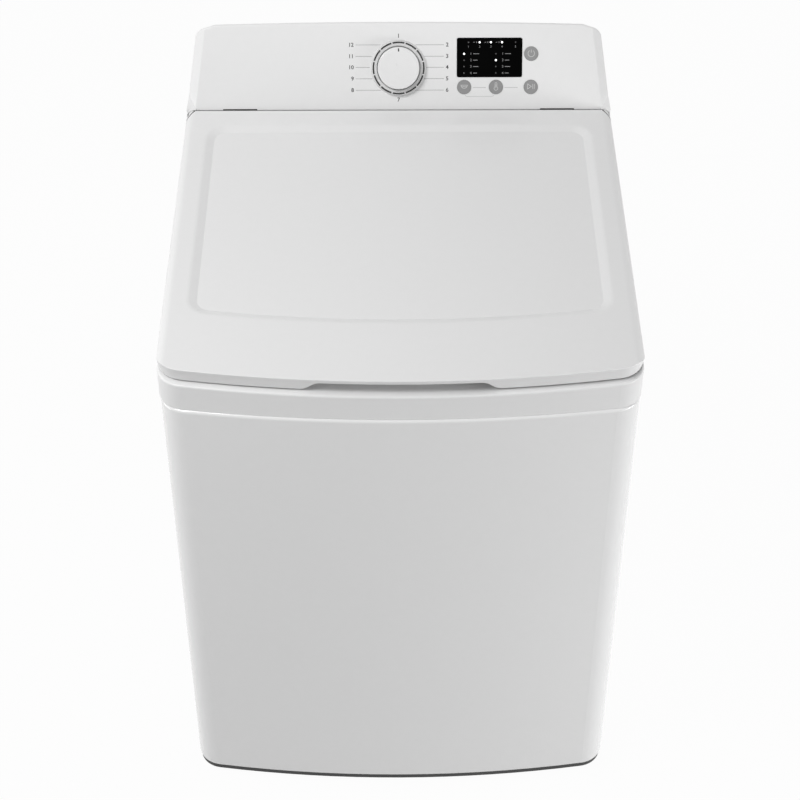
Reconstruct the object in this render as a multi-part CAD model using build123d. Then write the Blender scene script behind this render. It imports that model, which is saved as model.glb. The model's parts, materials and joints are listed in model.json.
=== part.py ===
from build123d import *

import math
import os

# Top load washing machine, in millimetres and degrees.
# X runs to the right, Y to the rear and Z up. The origin is on the floor, under the middle of the whole.

# Cabinet
CABINET_WIDTH = 682.0
DEPTH = 742.0  # from the bowed front to the tips of the water ports
PORT_STANDOFF = 22.0  # how far the ports stand out behind the console
CABINET_HEIGHT = 785.0
FRONT_BOW = 29.0  # rise of the bowed front over its full width
FRONT_CORNER_R = 42.0
REAR_CORNER_R = 6.0
SHEET = 1.2
TOP_EDGE_R = 5.0
FLANGE = 18.0
REAR_STEP = 4.0  # the cabinet's rear stands this far inside the console's
PANEL_FIT = 0.4
BEAD_DEPTH = 3.5
BEAD_WIDTH = 26.0
BEAD_COUNT = 5
BEAD_LENGTH = 420.0
BEAD_PITCH = 96.0
BEAD_TAPER = 30.0  # degrees
LEAST_R = 0.6  # the smallest round that an inset outline keeps
FLAT_TOLERANCE = 0.01  # how far the normals of two faces in one plane may differ
FACING = 0.5  # least share of a face's normal that points the same way
UPPER_PART = 0.75  # where the upper part of the console's face begins

# Base and feet
FOOT_HEIGHT = 21.0
FOOT_PAD_HEIGHT = 12.0
FOOT_PAD_R = 21.0
FOOT_PAD_EDGE = 2.0
FOOT_PAD_SHOULDER = 5.0
FOOT_STUD_R = 5.0
FOOT_INSET = 58.0
FOOT_NUT_HEIGHT = 6.0
FOOT_NUT_R = 10.0
BASE_RIM = 11.0
BASE_INSET = 2.0
BASE_WALL = 4.0
BASE_UPSTAND = 20.0
BASE_RIB_HEIGHT = 10.0
BASE_RIB_PITCH = 172.0

# Top cover, which carries the lid on a sloping deck
TOP_OVERHANG = 2.0
SKIRT_HEIGHT = 41.0
SKIRT_SETBACK = 3.0
DECK_SLOPE = 5.5
DECK_EDGE_R = 3.0
PLASTIC = 3.0
SEAT_WIDTH = 22.0
THROAT_RISE = 20.0  # the throat's lower edge above the cabinet
THROAT_SIDE_MARGIN = 12.0
THROAT_FRONT_MARGIN = -8.0
THROAT_CORNER_R = 185.0

# Lid
LID_SETBACK = 6.0
LID_GAP = 3.0
LID_THICKNESS = 22.0
LID_EDGE_R = 1.2
LID_WALL = 3.0
LID_SIDE_R = 15.0
LID_SIDE_OVERLAP = 1.0  # how far the drawn-in side runs up into the round
LID_UNDERCUT = 9.0  # degrees by which the rim draws in downwards
LID_RECESS_DEPTH = 5.0
LID_RECESS_SLOPE = 13.0
LID_RECESS_SIDE = 37.0
LID_RECESS_FRONT = 117.0
LID_RECESS_REAR = 39.0
LID_RECESS_R = 34.0
LID_RECESS_EDGE_R = 14.0
CORNER_LINE_SIDE = 15.0  # where the line across a rear corner starts, from the side and from the rear
CORNER_LINE_REAR = 17.0
CORNER_LINE_WIDTH = 2.0
CORNER_LINE_DEPTH = 2.2
GRIP_WIDTH = 284.0
GRIP_TOP_WIDTH = 220.0
GRIP_HEIGHT = 15.0
GRIP_DEPTH = 26.0
LINER_LOW = 6.5  # the inner panel above the deck
LINER_MARGIN = 72.0
LINER_SKIN = 2.5
LINER_DROP = 4.5
LINER_R = 60.0
BUMPER_R = 7.0
BUMPER_INSET = 34.0
REST_GAP = 0.2
HINGE_INSET = 87.0
HINGE_WIDTH = 55.0
HINGE_FROM_REAR = 11.0
HINGE_REAR_RISE = 12.0  # underside of the lid's rear strip above the deck
REAR_BAND = 22.0
HINGE_ABOVE_DECK = 16.2
HINGE_PIN_R = 3.0
HINGE_EYE_R = 5.5
HINGE_EAR = 5.0
HINGE_STEM = 6.6
HINGE_SIDE_GAP = 0.5
RUNNING_FIT = 0.05
LEAF_THICKNESS = 2.0

# Lid lock
LOCK_INSET = 59.0
LOCK_Y = 330.0  # along the deck from the skirt's front
LOCK_LENGTH = 70.0
LOCK_WIDTH = 34.0
LOCK_HEIGHT = 26.0
STRIKE_WIDTH = 16.0
STRIKE_THICKNESS = 3.0
STRIKE_REACH = 19.0  # below the deck
STRIKE_FIT = 2.5
STRIKE_FOOT = 2.0
STRIKE_END = 3.5  # below the bolt's hole
BOLT_R = 3.0
BOLT_HOLE_FIT = 1.5
BOLT_TRAVEL = 7.0

# Console
CONSOLE_DEPTH = 96.0
CONSOLE_GAP = 2.2
CONSOLE_LAP = 3.0  # the face reaches this far below the lid's top
CONSOLE_TILT = 28.0
CONSOLE_FACE = 142.5
CONSOLE_WALL = 3.0
CONSOLE_TAPER = 20.0
CONSOLE_CORNER_RUN = 29.0  # the slanting cut that leads into each upper corner
CONSOLE_CORNER_DROP = 9.5
CONSOLE_CORNER_R = 18.0
CONSOLE_CROWN = 4.0
CONSOLE_BLUNT = 2.0  # what the crown takes off the sharp upper edge
CONSOLE_TOP_FALL = 15.0
CONSOLE_TOP_R = 3.0
CONSOLE_EDGE_R = 1.2
CONSOLE_CREASE_R = 5.0
CONSOLE_BEVEL = 14.0
CONSOLE_BEVEL_DEPTH = 12.0
CONSOLE_SILL = 4.0  # the bevels end this far above the face's lower edge
CHEEK_WIDTH = 3.0
CHEEK_LENGTH = 34.0
CHEEK_HEIGHT = 9.0
CHEEK_FIT = 1.2
CHEEK_SWING = 7.5  # length of the lid's rear corner that would meet a cheek as it swings down
VENT_WIDTH = 4.0
VENT_HEIGHT = 34.0
VENT_PITCH = 12.0
VENT_COUNT = 10
VENT_START = 150.0
CONSOLE_UNDERCUT = 13.0
CONSOLE_BACK_LEAN = 8.0
CONSOLE_BACK_FRAME = 12.0
CONSOLE_BACK_SKIN = 2.0

# Controls, placed on the console's face from the middle of its lower edge
KNOB_UP = 68.0
BEZEL_R = 43.0
BEZEL_HEIGHT = 7.0
BEZEL_FLARE = 1.5
BEZEL_EDGE = 1.0
KNOB_R = 34.0
KNOB_HEIGHT = 17.0
KNOB_FIT = 0.8
KNOB_DRAFT = 0.8
KNOB_EDGE_R = 1.5
KNOB_SHAFT_R = 3.0
POINTER_R = 28.8
POINTER_WIDTH = 2.0
POINTER_LENGTH = 5.0
MARK_COUNT = 12
MARK_R = 41.8
MARK_WIDTH = 2.6
MARK_GAP = 3.0  # degrees
MARK_DEPTH = 0.6
DISPLAY_X = 146.2
DISPLAY_UP = 84.1
DISPLAY_WIDTH = 104.8
DISPLAY_HEIGHT = 62.0
DISPLAY_R = 3.0
DISPLAY_THICKNESS = 2.4
DISPLAY_PROUD = 0.3
DISPLAY_LEDGE = 4.0
BUTTON_R = 11.3
BUTTON_FIT = 0.3
BUTTON_PROUD = 0.5
BUTTON_TRAVEL = 1.2
BUTTON_STEM_R = 3.0
BUTTONS = {
    "power_button": (213.2, 90.0),
    "level_button": (105.7, 37.3),
    "temperature_button": (156.9, 37.3),
    "start_button": (213.1, 37.3),
}
BOARD_BEHIND = 20.0
BOARD_THICKNESS = 1.6
BOARD_MARGIN = 14.0
BOARD_LEFT = -70.0
BOARD_RIGHT = 240.0
BOARD_TOP_MARGIN = 36.4
LAMP_GAP = 1.5
SWITCH_SIZE = 7.0
ENCODER_SIZE = 16.0
ENCODER_HEIGHT = 7.0
POST_R = 4.0

# Tub, basket and suspension
TUB_SIDE_GAP = 43.0
TUB_REAR_GAP = 44.0
TUB_WALL = 4.0
TUB_FLOOR_R = 24.0
TUB_LIP = 5.0
TUB_LIP_HEIGHT = 6.0
BOUNCE_DOWN = 25.0
BOUNCE_UP = 8.0
RING_GAP = 4.0
RING_HEIGHT = 24.0
RING_WALL = 3.0
RING_OVERHANG = 66.0
RING_CHAMFER = 6.0
RING_LIP_DROP = 12.0
BASKET_GAP = 28.0
BASKET_WALL = 1.2
BASKET_FLOOR_R = 26.0
HUB_GAP = 30.0
HUB_CLEARANCE = 4.0
HUB_R = 44.0
HUB_FLANGE_R = 78.0
HUB_FLANGE = 6.0
HUB_ARMS = 3
HUB_ARM_WIDTH = 30.0
HUB_ARM_DEPTH = 12.0
HUB_ARM_MARGIN = 60.0
HUB_ARM_TURN = 30.0  # degrees
BALANCE_WIDTH = 46.0
BALANCE_HEIGHT = 62.0
BALANCE_FIT = 0.3
BALANCE_TOP_R = 12.0
BALANCE_LOW_R = 22.0
HOLE_R = 3.0
HOLE_COLUMNS = 20
HOLE_ROWS = 7
HOLE_MARGIN = 46.0
IMPELLER_R = 208.0
IMPELLER_GAP = 5.0
IMPELLER_WALL = 4.0
IMPELLER_RIM = 10.0
IMPELLER_DOME_R = 58.0
IMPELLER_DOME_HEIGHT = 52.0
IMPELLER_WAIST = 28.0  # height at which the dome is widest
IMPELLER_SWEEP = 40.0  # width of the slope at the dome's foot
IMPELLER_SWELL = 4.0
IMPELLER_RIM_WIDTH = 20.0
IMPELLER_RIM_EDGE = 3.0
BOSS_WALL = 6.0
VANE_COUNT = 6
VANE_HEIGHT = 34.0
VANE_WIDTH = 44.0
VANE_ROOT_R = 50.0
VANE_TIP_R = 178.0
VANE_SWEEP = (-14.0, 10.0, -22.0)  # sideways places of a vane's root, middle and tip
VANE_TAPER = 20.0  # degrees
VANE_EDGE = 5.0
CAP_R = 27.0
CAP_HEIGHT = 9.0
CAP_PROUD = 2.0
CAP_FIT = 1.0
CAP_WALL = 6.0
CAP_EDGE_R = 4.0
ROD_INSET_X = 70.0
ROD_INSET_Y = 88.0
ROD_R = 4.0
BALL_R = 9.0
BRACKET_THICKNESS = 3.0
EAR_RISE = 44.0
EAR_THICKNESS = 12.0
EAR_R = 21.0
ROD_FIT = 1.5
SPRING_LENGTH = 96.0
SPRING_R = 15.0
SPRING_WIRE = 4.0
CUP_HEIGHT = 9.0
CUP_LIP = 3.0

# Drive
PULLEY_CLEARANCE = 10.0
PULLEY_HEIGHT = 16.0
PULLEY_R = 84.0
PULLEY_HOLES = 6
PULLEY_HOLE_R = 17.0
PULLEY_HOLE_AT = 46.0
MOTOR_PULLEY_R = 28.0
MOTOR_DISTANCE = 176.0
MOTOR_R = 60.0
MOTOR_BELL = 12.0
MOTOR_HEADROOM = 14.0
MOTOR_BELL_GAP = 6.0
MOTOR_SHAFT_R = 5.0
MOTOR_SHAFT_DROP = 24.0  # from the plate to the shaft's upper end
MOTOR_FOOT_R = 9.0
MOTOR_FOOT_HEIGHT = 16.0
MOTOR_FOOT_INSET = 4.0
MOTOR_FEET = 3
FIN_COUNT = 12
FIN_DEPTH = 4.0
FIN_WIDTH = 12.0
FIN_MARGIN = 17.0
GEARCASE_GAP = 5.0
GEARCASE_HEIGHT = 78.0
GEARCASE_R = 62.0
GEARCASE_CHAMFER = 15.0
GEARCASE_FLANGE = 12.0
GEARCASE_FLANGE_HEIGHT = 6.0
GEARCASE_FLOOR = 9.0
SHAFT_END_GAP = 1.0
PLATE_THICKNESS = 4.0
PLATE_WIDTH = 132.0
PLATE_MARGIN = 12.0
PLATE_CORNER_R = 30.0
SPIN_TUBE_R = 20.0
WASH_SHAFT_R = 12.0
BEARING_R = 34.0
BEARING_HEIGHT = 14.0
SEAL_HEIGHT = 8.0
BELT_WIDTH = 9.0
BELT_HEIGHT = 7.0
BELT_FIT = 0.4

# Water
PORT_SPACING = 52.0
PORT_R = 13.3
PORT_BORE_R = 8.0
PORT_COLLAR = 3.5
COLLAR_THICKNESS = 3.0
VALVE_DEPTH = 34.0
COIL_R = 12.0
COIL_HEIGHT = 16.0
PORT_INSET = 141.0
PORT_RISE = 44.0  # above the cabinet
NOZZLE_WIDTH = 70.0
NOZZLE_HEIGHT = 16.0
NOZZLE_WALL = 2.0
DUCT_DEPTH = 24.0
PUMP_X = 172.0
PUMP_Y = -96.0
PUMP_R = 36.0
PUMP_HEIGHT = 66.0
PUMP_NECK = 14.0
PUMP_OUTLET = 22.0
PUMP_INLET_DEPTH = 30.0
DRAIN_PORT_R = 19.0
DRAIN_PORT_LENGTH = 18.0
HOSE_R = 13.0
HOSE_WALL = 2.5
HOSE_LIFT = 4.0
HOSE_FROM_PANEL = 40.0
HOSE_RUN_OUT = 40.0
HOSE_CLIMB = 70.0
HOSE_BEND_R = 30.0
SPIGOT_R = 11.0
SPIGOT_WALL = 2.0
SPIGOT_INNER = 4.0
SPIGOT_FLANGE = 7.0
SPIGOT_INSET = 101.0
SPIGOT_RISE = 665.0
GLAND_INSET = 101.0
GLAND_RISE = 665.0
GLAND_R = 10.0
GLAND_BORE_R = 4.5
GLAND_INNER = 5.0
GLAND_OUTER = 8.0
GLAND_FLANGE = 5.0

# Levels and planes that follow from the sizes above
HALF = CABINET_WIDTH / 2
TOP_HALF = HALF + TOP_OVERHANG
LOCK_X = TOP_HALF - LOCK_INSET
HINGE_X = TOP_HALF - HINGE_INSET
SPIGOT_X = HALF - SPIGOT_INSET
GLAND_X = GLAND_INSET - HALF
PORT_X = PORT_INSET - HALF
Y_FRONT = -DEPTH / 2
Y_BACK = DEPTH / 2 - PORT_STANDOFF
Y_CABINET_REAR = Y_BACK - REAR_STEP
Y_PANEL = Y_CABINET_REAR - SHEET
Y_SKIRT = Y_FRONT + SKIRT_SETBACK
BOW_R = (HALF**2 + FRONT_BOW**2) / (2 * FRONT_BOW)
Z_BASE = FOOT_HEIGHT
Z_CABINET = Z_BASE + BASE_RIM
Z_CABINET_TOP = Z_CABINET + CABINET_HEIGHT
Z_DECK = Z_CABINET_TOP + SKIRT_HEIGHT
Z_PAN = Z_BASE + BASE_WALL
SLOPE_SIN = math.sin(math.radians(DECK_SLOPE))
SLOPE_COS = math.cos(math.radians(DECK_SLOPE))
DECK = Plane(origin=(0, Y_SKIRT, Z_DECK), x_dir=(1, 0, 0), z_dir=(0, -SLOPE_SIN, SLOPE_COS))

LID_TOP = LID_GAP + LID_THICKNESS
LID_WIDEST = LID_TOP - LID_SIDE_R + LID_SIDE_OVERLAP
LID_DRAW = math.tan(math.radians(LID_UNDERCUT))
FACE_LIFT = LID_TOP - CONSOLE_LAP
FACE_ALONG = (Y_BACK - CONSOLE_DEPTH - Y_SKIRT + FACE_LIFT * SLOPE_SIN) / SLOPE_COS
LID_REAR = FACE_ALONG - CONSOLE_GAP
HINGE_ALONG = LID_REAR - HINGE_FROM_REAR

TILT_SIN = math.sin(math.radians(CONSOLE_TILT))
TILT_COS = math.cos(math.radians(CONSOLE_TILT))
FACE_ORIGIN = DECK.from_local_coords(Vector(0, FACE_ALONG, FACE_LIFT))
FACE = Plane(origin=FACE_ORIGIN, x_dir=(1, 0, 0), z_dir=(0, -TILT_COS, TILT_SIN))
Z_CONSOLE_PEAK = FACE_ORIGIN.Z + CONSOLE_FACE * TILT_COS
Z_CONSOLE_BACK = Z_CONSOLE_PEAK - CONSOLE_TOP_FALL

TUB_Y = (Y_FRONT + Y_BACK) / 2
TUB_R = min(HALF - TUB_SIDE_GAP, Y_PANEL - TUB_Y - TUB_REAR_GAP)
BASKET_R = TUB_R - BASKET_GAP
BALANCE_INNER_R = BASKET_R - BASKET_WALL - BALANCE_FIT - BALANCE_WIDTH
Z_THROAT = Z_CABINET_TOP + THROAT_RISE
Z_RING_TOP = Z_THROAT - BOUNCE_UP - RING_GAP
Z_TUB_RIM = Z_RING_TOP - RING_HEIGHT
Z_BASKET_TOP = Z_TUB_RIM - RING_WALL
Z_PULLEY = Z_PAN + BASE_RIB_HEIGHT + BOUNCE_DOWN + PULLEY_CLEARANCE
Z_GEARCASE = Z_PULLEY + PULLEY_HEIGHT + GEARCASE_GAP
Z_PLATE = Z_GEARCASE + GEARCASE_HEIGHT
Z_TUB = Z_PLATE + PLATE_THICKNESS
Z_BASKET = Z_TUB + TUB_WALL + HUB_GAP
Z_IMPELLER = Z_BASKET + BASKET_WALL + IMPELLER_GAP
Z_EAR = Z_TUB + EAR_RISE
ROD_X = HALF - ROD_INSET_X
ROD_Y = Y_PANEL - TUB_Y - ROD_INSET_Y
Z_SPRING = Z_EAR - SPRING_LENGTH
TUB_AXIS = Axis((0, TUB_Y, 0), (0, 0, 1))
CORNERS = [(sx, sy) for sx in (-1, 1) for sy in (-1, 1)]
Z_SHAFTS = Z_GEARCASE + GEARCASE_FLOOR + SHAFT_END_GAP
Z_DOME = Z_IMPELLER + IMPELLER_WALL + IMPELLER_DOME_HEIGHT
Z_CAP_SEAT = Z_DOME + CAP_PROUD - CAP_HEIGHT
Z_VALVE = Z_CABINET_TOP + PORT_RISE
Y_VALVE = Y_BACK - PLASTIC - VALVE_DEPTH
Z_HOSE = Z_PAN + BASE_RIB_HEIGHT + HOSE_R + HOSE_LIFT
STANDING = (Align.CENTER, Align.CENTER, Align.MIN)


# Helpers

def plan(half, front, rear, inset=0.0):
    """Outline seen from above: a bowed front, straight sides and a straight rear, drawn in by an inset."""
    bow_r = BOW_R - inset
    half, front, rear = half - inset, front + inset, rear - inset
    corner = front + bow_r - math.sqrt(bow_r**2 - half**2)
    bow = ThreePointArc((-half, corner), (0, front), (half, corner))
    rest = Polyline((half, corner), (half, rear), (-half, rear), (-half, corner))
    face = make_face(bow + rest)
    face = fillet(face.vertices().sort_by(Axis.Y)[:2], max(FRONT_CORNER_R - inset, LEAST_R))
    return fillet(face.vertices().sort_by(Axis.Y)[-2:], max(REAR_CORNER_R - inset, LEAST_R))


def cabinet_plan(inset=0.0):
    return plan(HALF, Y_FRONT, Y_CABINET_REAR, inset)


def skirt_plan(inset=0.0):
    return plan(TOP_HALF, Y_SKIRT, Y_BACK, inset)


def raise_face(face, low, high):
    """Prism between two heights, from an outline drawn on the floor."""
    return extrude(Pos(0, 0, low) * face, high - low)


def below(shape, plane):
    return split(shape, bisect_by=plane, keep=Keep.BOTTOM)


def turned(points, axis_y=TUB_Y):
    """Solid of revolution about the tub's axis, from radius and height pairs or ready edges."""
    face = make_face(Polyline(*points, close=True))
    return Pos(0, axis_y, 0) * revolve(Plane.XZ * face, Axis.Z)


def ring(outer, inner, low, high, x=0.0, y=TUB_Y):
    disc = Circle(outer) - Circle(inner) if inner else Circle(outer)
    return extrude(Pos(x, y, low) * disc, high - low)


def group(solids):
    """Identical separate solids that share one node."""
    return Compound(children=[solid for shape in solids for solid in shape.solids()])


def both_sides(shape):
    """A shape of the right side, and its mirror image on the left."""
    return [shape, shape.mirror(Plane.YZ)]


def rounded(width, height, radius):
    return RectangleRounded(width, height, radius)


# Base and feet

def foot_places():
    """The four feet stand inside the cabinet's corners."""
    front = Y_FRONT + FRONT_BOW + FOOT_INSET
    rear = Y_CABINET_REAR - FOOT_INSET
    return [(sx * (HALF - FOOT_INSET), y) for sx in (-1, 1) for y in (front, rear)]


def base_pan():
    lip = SHEET + PANEL_FIT + FLANGE
    rim = raise_face(cabinet_plan(BASE_INSET), Z_BASE, Z_CABINET)
    upstand = raise_face(cabinet_plan(lip), Z_CABINET, Z_CABINET + BASE_UPSTAND)
    hollow = raise_face(cabinet_plan(lip + BASE_WALL), Z_PAN, Z_CABINET + BASE_UPSTAND)
    pan = rim + upstand - hollow
    ribs = [
        Pos(0, y, Z_PAN) * Box(2 * (HALF - lip) - BASE_WALL, BASE_WALL, BASE_RIB_HEIGHT, align=STANDING)
        for y in (TUB_Y - BASE_RIB_PITCH, TUB_Y, TUB_Y + BASE_RIB_PITCH)
    ]
    bosses = [ring(FOOT_PAD_R, 0, Z_PAN, Z_PAN + BASE_RIB_HEIGHT, x, y) for x, y in foot_places()]
    pan = pan + ribs + bosses
    return pan - [
        ring(FOOT_STUD_R + PANEL_FIT, 0, Z_BASE, Z_PAN + BASE_RIB_HEIGHT, x, y) for x, y in foot_places()
    ]


def foot_pads():
    pad = turned(
        [
            (0, 0),
            (FOOT_PAD_R - FOOT_PAD_EDGE, 0),
            (FOOT_PAD_R, FOOT_PAD_EDGE),
            (FOOT_PAD_R, FOOT_PAD_HEIGHT - FOOT_PAD_SHOULDER),
            (FOOT_PAD_R - FOOT_PAD_SHOULDER, FOOT_PAD_HEIGHT),
            (0, FOOT_PAD_HEIGHT),
        ],
        0,
    )
    return group([Pos(x, y, 0) * pad for x, y in foot_places()])


def foot_studs():
    top = Z_PAN + BASE_RIB_HEIGHT
    return group([ring(FOOT_STUD_R, 0, FOOT_PAD_HEIGHT, top, x, y) for x, y in foot_places()])


def foot_lock_nuts():
    nut = RegularPolygon(FOOT_NUT_R, 6) - Circle(FOOT_STUD_R + RUNNING_FIT)
    low = Z_BASE - FOOT_NUT_HEIGHT
    return group([extrude(Pos(x, y, low) * nut, FOOT_NUT_HEIGHT) for x, y in foot_places()])


# Cabinet

def cabinet_shell():
    outer = raise_face(cabinet_plan(), Z_CABINET, Z_CABINET_TOP)
    outer = fillet(outer.faces().sort_by(Axis.Z)[-1].edges(), TOP_EDGE_R)
    inner = raise_face(cabinet_plan(SHEET), Z_CABINET + SHEET, Z_CABINET_TOP - SHEET)
    inner = fillet(inner.faces().sort_by(Axis.Z)[-1].edges(), TOP_EDGE_R - SHEET)
    shell = outer - inner - raise_face(cabinet_plan(FLANGE), Z_CABINET, Z_CABINET_TOP)
    window = Pos(0, Y_CABINET_REAR, (Z_CABINET + Z_CABINET_TOP) / 2) * Box(
        2 * (HALF - FLANGE), 4 * SHEET, CABINET_HEIGHT - 2 * FLANGE
    )
    return shell - window


def panel_local(x, rise):
    """A point of the rear panel's outer face, from the middle of its lower edge."""
    return Plane(origin=(x, Y_PANEL, Z_CABINET + rise), x_dir=(-1, 0, 0), z_dir=(0, 1, 0))


def rear_panel():
    half = HALF - REAR_CORNER_R - PANEL_FIT
    low = Z_CABINET + SHEET + PANEL_FIT
    high = Z_CABINET_TOP - TOP_EDGE_R - PANEL_FIT
    sheet = Pos(0, Y_PANEL - SHEET / 2, (low + high) / 2) * Box(2 * half, SHEET, high - low)
    for index in range(BEAD_COUNT):
        rise = CABINET_HEIGHT / 2 + (index - (BEAD_COUNT - 1) / 2) * BEAD_PITCH
        place = panel_local(0, rise)
        raised = place * extrude(SlotOverall(BEAD_LENGTH, BEAD_WIDTH), BEAD_DEPTH, taper=BEAD_TAPER)
        slot = SlotOverall(BEAD_LENGTH, BEAD_WIDTH)
        hollow = place.offset(-SHEET) * extrude(slot, BEAD_DEPTH, taper=BEAD_TAPER)
        sheet = sheet + raised - hollow
    holes = [(SPIGOT_X, SPIGOT_RISE, SPIGOT_R), (GLAND_X, GLAND_RISE, GLAND_R)]
    for x, rise, radius in holes:
        sheet -= panel_local(x, rise) * Pos(0, 0, -SHEET) * Cylinder(radius + PANEL_FIT, 4 * SHEET)
    return sheet


# Top cover

def throat_outline(inset=0.0):
    half_x = BALANCE_INNER_R + THROAT_SIDE_MARGIN - inset
    half_y = BALANCE_INNER_R + THROAT_FRONT_MARGIN - inset
    radius = min(THROAT_CORNER_R - inset, half_x - LEAST_R, half_y - LEAST_R)
    return Pos(0, TUB_Y) * rounded(2 * half_x, 2 * half_y, radius)


def deck_cylinder(x, along, radius, low, high):
    """Round bar square to the deck, between two heights above it."""
    return DECK * Pos(x, along, low) * Cylinder(radius, high - low, align=STANDING)


def port_places():
    return [PORT_X - PORT_SPACING / 2, PORT_X + PORT_SPACING / 2]


def nozzle_box(grow=0.0):
    """The fill nozzle's flat spout, which passes through the rear of the throat."""
    front = TUB_Y + BALANCE_INNER_R + THROAT_FRONT_MARGIN - PLASTIC
    return Pos(0, (Y_VALVE + front) / 2, Z_VALVE) * Box(
        NOZZLE_WIDTH + 2 * grow, Y_VALVE - front, NOZZLE_HEIGHT + 2 * grow
    )


def top_cover():
    ceiling = Z_DECK + DEPTH * SLOPE_SIN + PLASTIC
    outer = below(raise_face(skirt_plan(), Z_CABINET_TOP, ceiling), DECK)
    outer = fillet(outer.faces().sort_by(Axis.Z)[-1].edges(), DECK_EDGE_R)
    lower_deck = DECK.offset(-PLASTIC)
    inner = below(raise_face(skirt_plan(PLASTIC), Z_CABINET_TOP + PLASTIC, ceiling), lower_deck)
    cover = outer - inner - raise_face(skirt_plan(SEAT_WIDTH), Z_CABINET_TOP, Z_CABINET_TOP + 2 * PLASTIC)
    throat = below(raise_face(throat_outline(-PLASTIC), Z_THROAT, ceiling), lower_deck)
    cover = cover + throat - raise_face(throat_outline(), Z_THROAT, ceiling)
    slot = DECK * Pos(LOCK_X, LOCK_Y, 0) * Box(
        STRIKE_THICKNESS + 2 * STRIKE_FIT, STRIKE_WIDTH + 2 * STRIKE_FIT, 4 * PLASTIC
    )
    cover -= slot
    for x in port_places():
        cover -= Pos(x, Y_BACK, Z_VALVE) * Rot(90, 0, 0) * Cylinder(PORT_R + PANEL_FIT, 4 * PLASTIC)
    return cover - nozzle_box(PANEL_FIT)


# Lid

def rim_draw(height):
    """How far the lid's rim has drawn in at a height above the deck, counted from its widest level."""
    return (LID_WIDEST - height) * LID_DRAW


def lid_outline(inset=0.0):
    """Outline at the lid's widest level: bowed front, straight sides and a straight rear."""
    bow_r = BOW_R - inset
    flare = inset - rim_draw(LID_TOP)
    half, front, rear = TOP_HALF - inset, LID_SETBACK + flare, LID_REAR - flare
    corner = front + bow_r - math.sqrt(bow_r**2 - half**2)
    bow = ThreePointArc((-half, corner), (0, front), (half, corner))
    rest = Polyline((half, corner), (half, rear), (-half, rear), (-half, corner))
    face = make_face(bow + rest)
    return fillet(face.vertices().sort_by(Axis.Y)[:2], max(FRONT_CORNER_R - inset, LEAST_R))


def side_roll(low, inset=0.0):
    """Long bar whose upper sides are rolled over, which shapes the lid and the console's cheeks alike."""
    half, high = TOP_HALF - inset, LID_TOP - inset
    section = Pos(0, (low + high) / 2) * Rectangle(2 * half, high - low)
    section = fillet(section.vertices().sort_by(Axis.Y)[-2:], LID_SIDE_R - inset)
    return Pos(0, 2 * DEPTH, 0) * extrude(Plane.XZ * section, 4 * DEPTH)


def lid_slab(low, inset=0.0):
    """The lid's drawn-in form from a height above the deck up to its top."""
    levels = (low, LID_TOP - inset)
    return loft([Pos(0, 0, level) * lid_outline(inset + rim_draw(level)) for level in levels], ruled=True)


def lid_form(low, inset=0.0):
    """The lid without its panel: the drawn-in slab with its rolled sides."""
    return lid_slab(low, inset) & side_roll(low, inset)


def corner_line():
    """Groove of even depth across the lid's right rear corner, in line with the console's bevel."""
    length = math.hypot(CORNER_LINE_SIDE, CORNER_LINE_REAR)
    turn = math.degrees(math.atan2(-CORNER_LINE_REAR, CORNER_LINE_SIDE))
    middle = Pos(TOP_HALF - CORNER_LINE_SIDE / 2, LID_REAR - CORNER_LINE_REAR / 2, LID_TOP)
    blade = middle * Rot(0, 0, turn) * Box(2 * length, CORNER_LINE_WIDTH, 2 * LID_SIDE_R)
    return blade - lid_form(0, CORNER_LINE_DEPTH)


def console_cheek():
    """The console's right cheek: a thin wall that runs forward beside the lid's rear corner."""
    front = LID_REAR - CHEEK_LENGTH
    toe = FACE_ALONG + CONSOLE_UNDERCUT + PLASTIC
    outline = Polyline(
        (front, 0),
        (front, CHEEK_HEIGHT),
        (FACE_ALONG, CHEEK_HEIGHT),
        (FACE_ALONG, FACE_LIFT),
        (toe, FACE_LIFT),
        (toe, 0),
        close=True,
    )
    wall = Pos(TOP_HALF - CHEEK_WIDTH, 0, 0) * extrude(Plane.YZ * make_face(outline), CHEEK_WIDTH)
    return wall & side_roll(0)


def cheek_room():
    """What the lid leaves free for the right cheek, closed and as its rear corner swings down."""
    width = 2 * (CHEEK_WIDTH + CHEEK_FIT)
    low = Pos(TOP_HALF, LID_REAR - CHEEK_LENGTH - CHEEK_FIT, 0) * Box(
        width, 2 * CHEEK_LENGTH, CHEEK_HEIGHT + CHEEK_FIT, align=(Align.CENTER, Align.MIN, Align.MIN)
    )
    swing = Pos(TOP_HALF, LID_REAR, 0) * Box(width, 2 * CHEEK_SWING, LID_TOP, align=STANDING)
    return low + swing


def recess_outline(inset):
    """The pressed panel in the lid, bowed like the lid's front."""
    half = TOP_HALF - LID_RECESS_SIDE - inset
    front = LID_SETBACK + LID_RECESS_FRONT + inset
    rear = LID_REAR - LID_RECESS_REAR - inset
    bow_r = BOW_R - LID_RECESS_FRONT - inset
    corner = front + bow_r - math.sqrt(bow_r**2 - half**2)
    bow = ThreePointArc((-half, corner), (0, front), (half, corner))
    rest = Polyline((half, corner), (half, rear), (-half, rear), (-half, corner))
    face = make_face(bow + rest)
    return fillet(face.vertices(), max(LID_RECESS_R - inset, LEAST_R))


def lid_recess(grow, depth):
    """Loft that sinks the panel: wide at the lid's top, narrow at its floor."""
    top = Pos(0, 0, LID_TOP) * recess_outline(-grow)
    floor = Pos(0, 0, LID_TOP - depth) * recess_outline(LID_RECESS_SLOPE - grow)
    return loft([top, floor], ruled=True)


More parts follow.
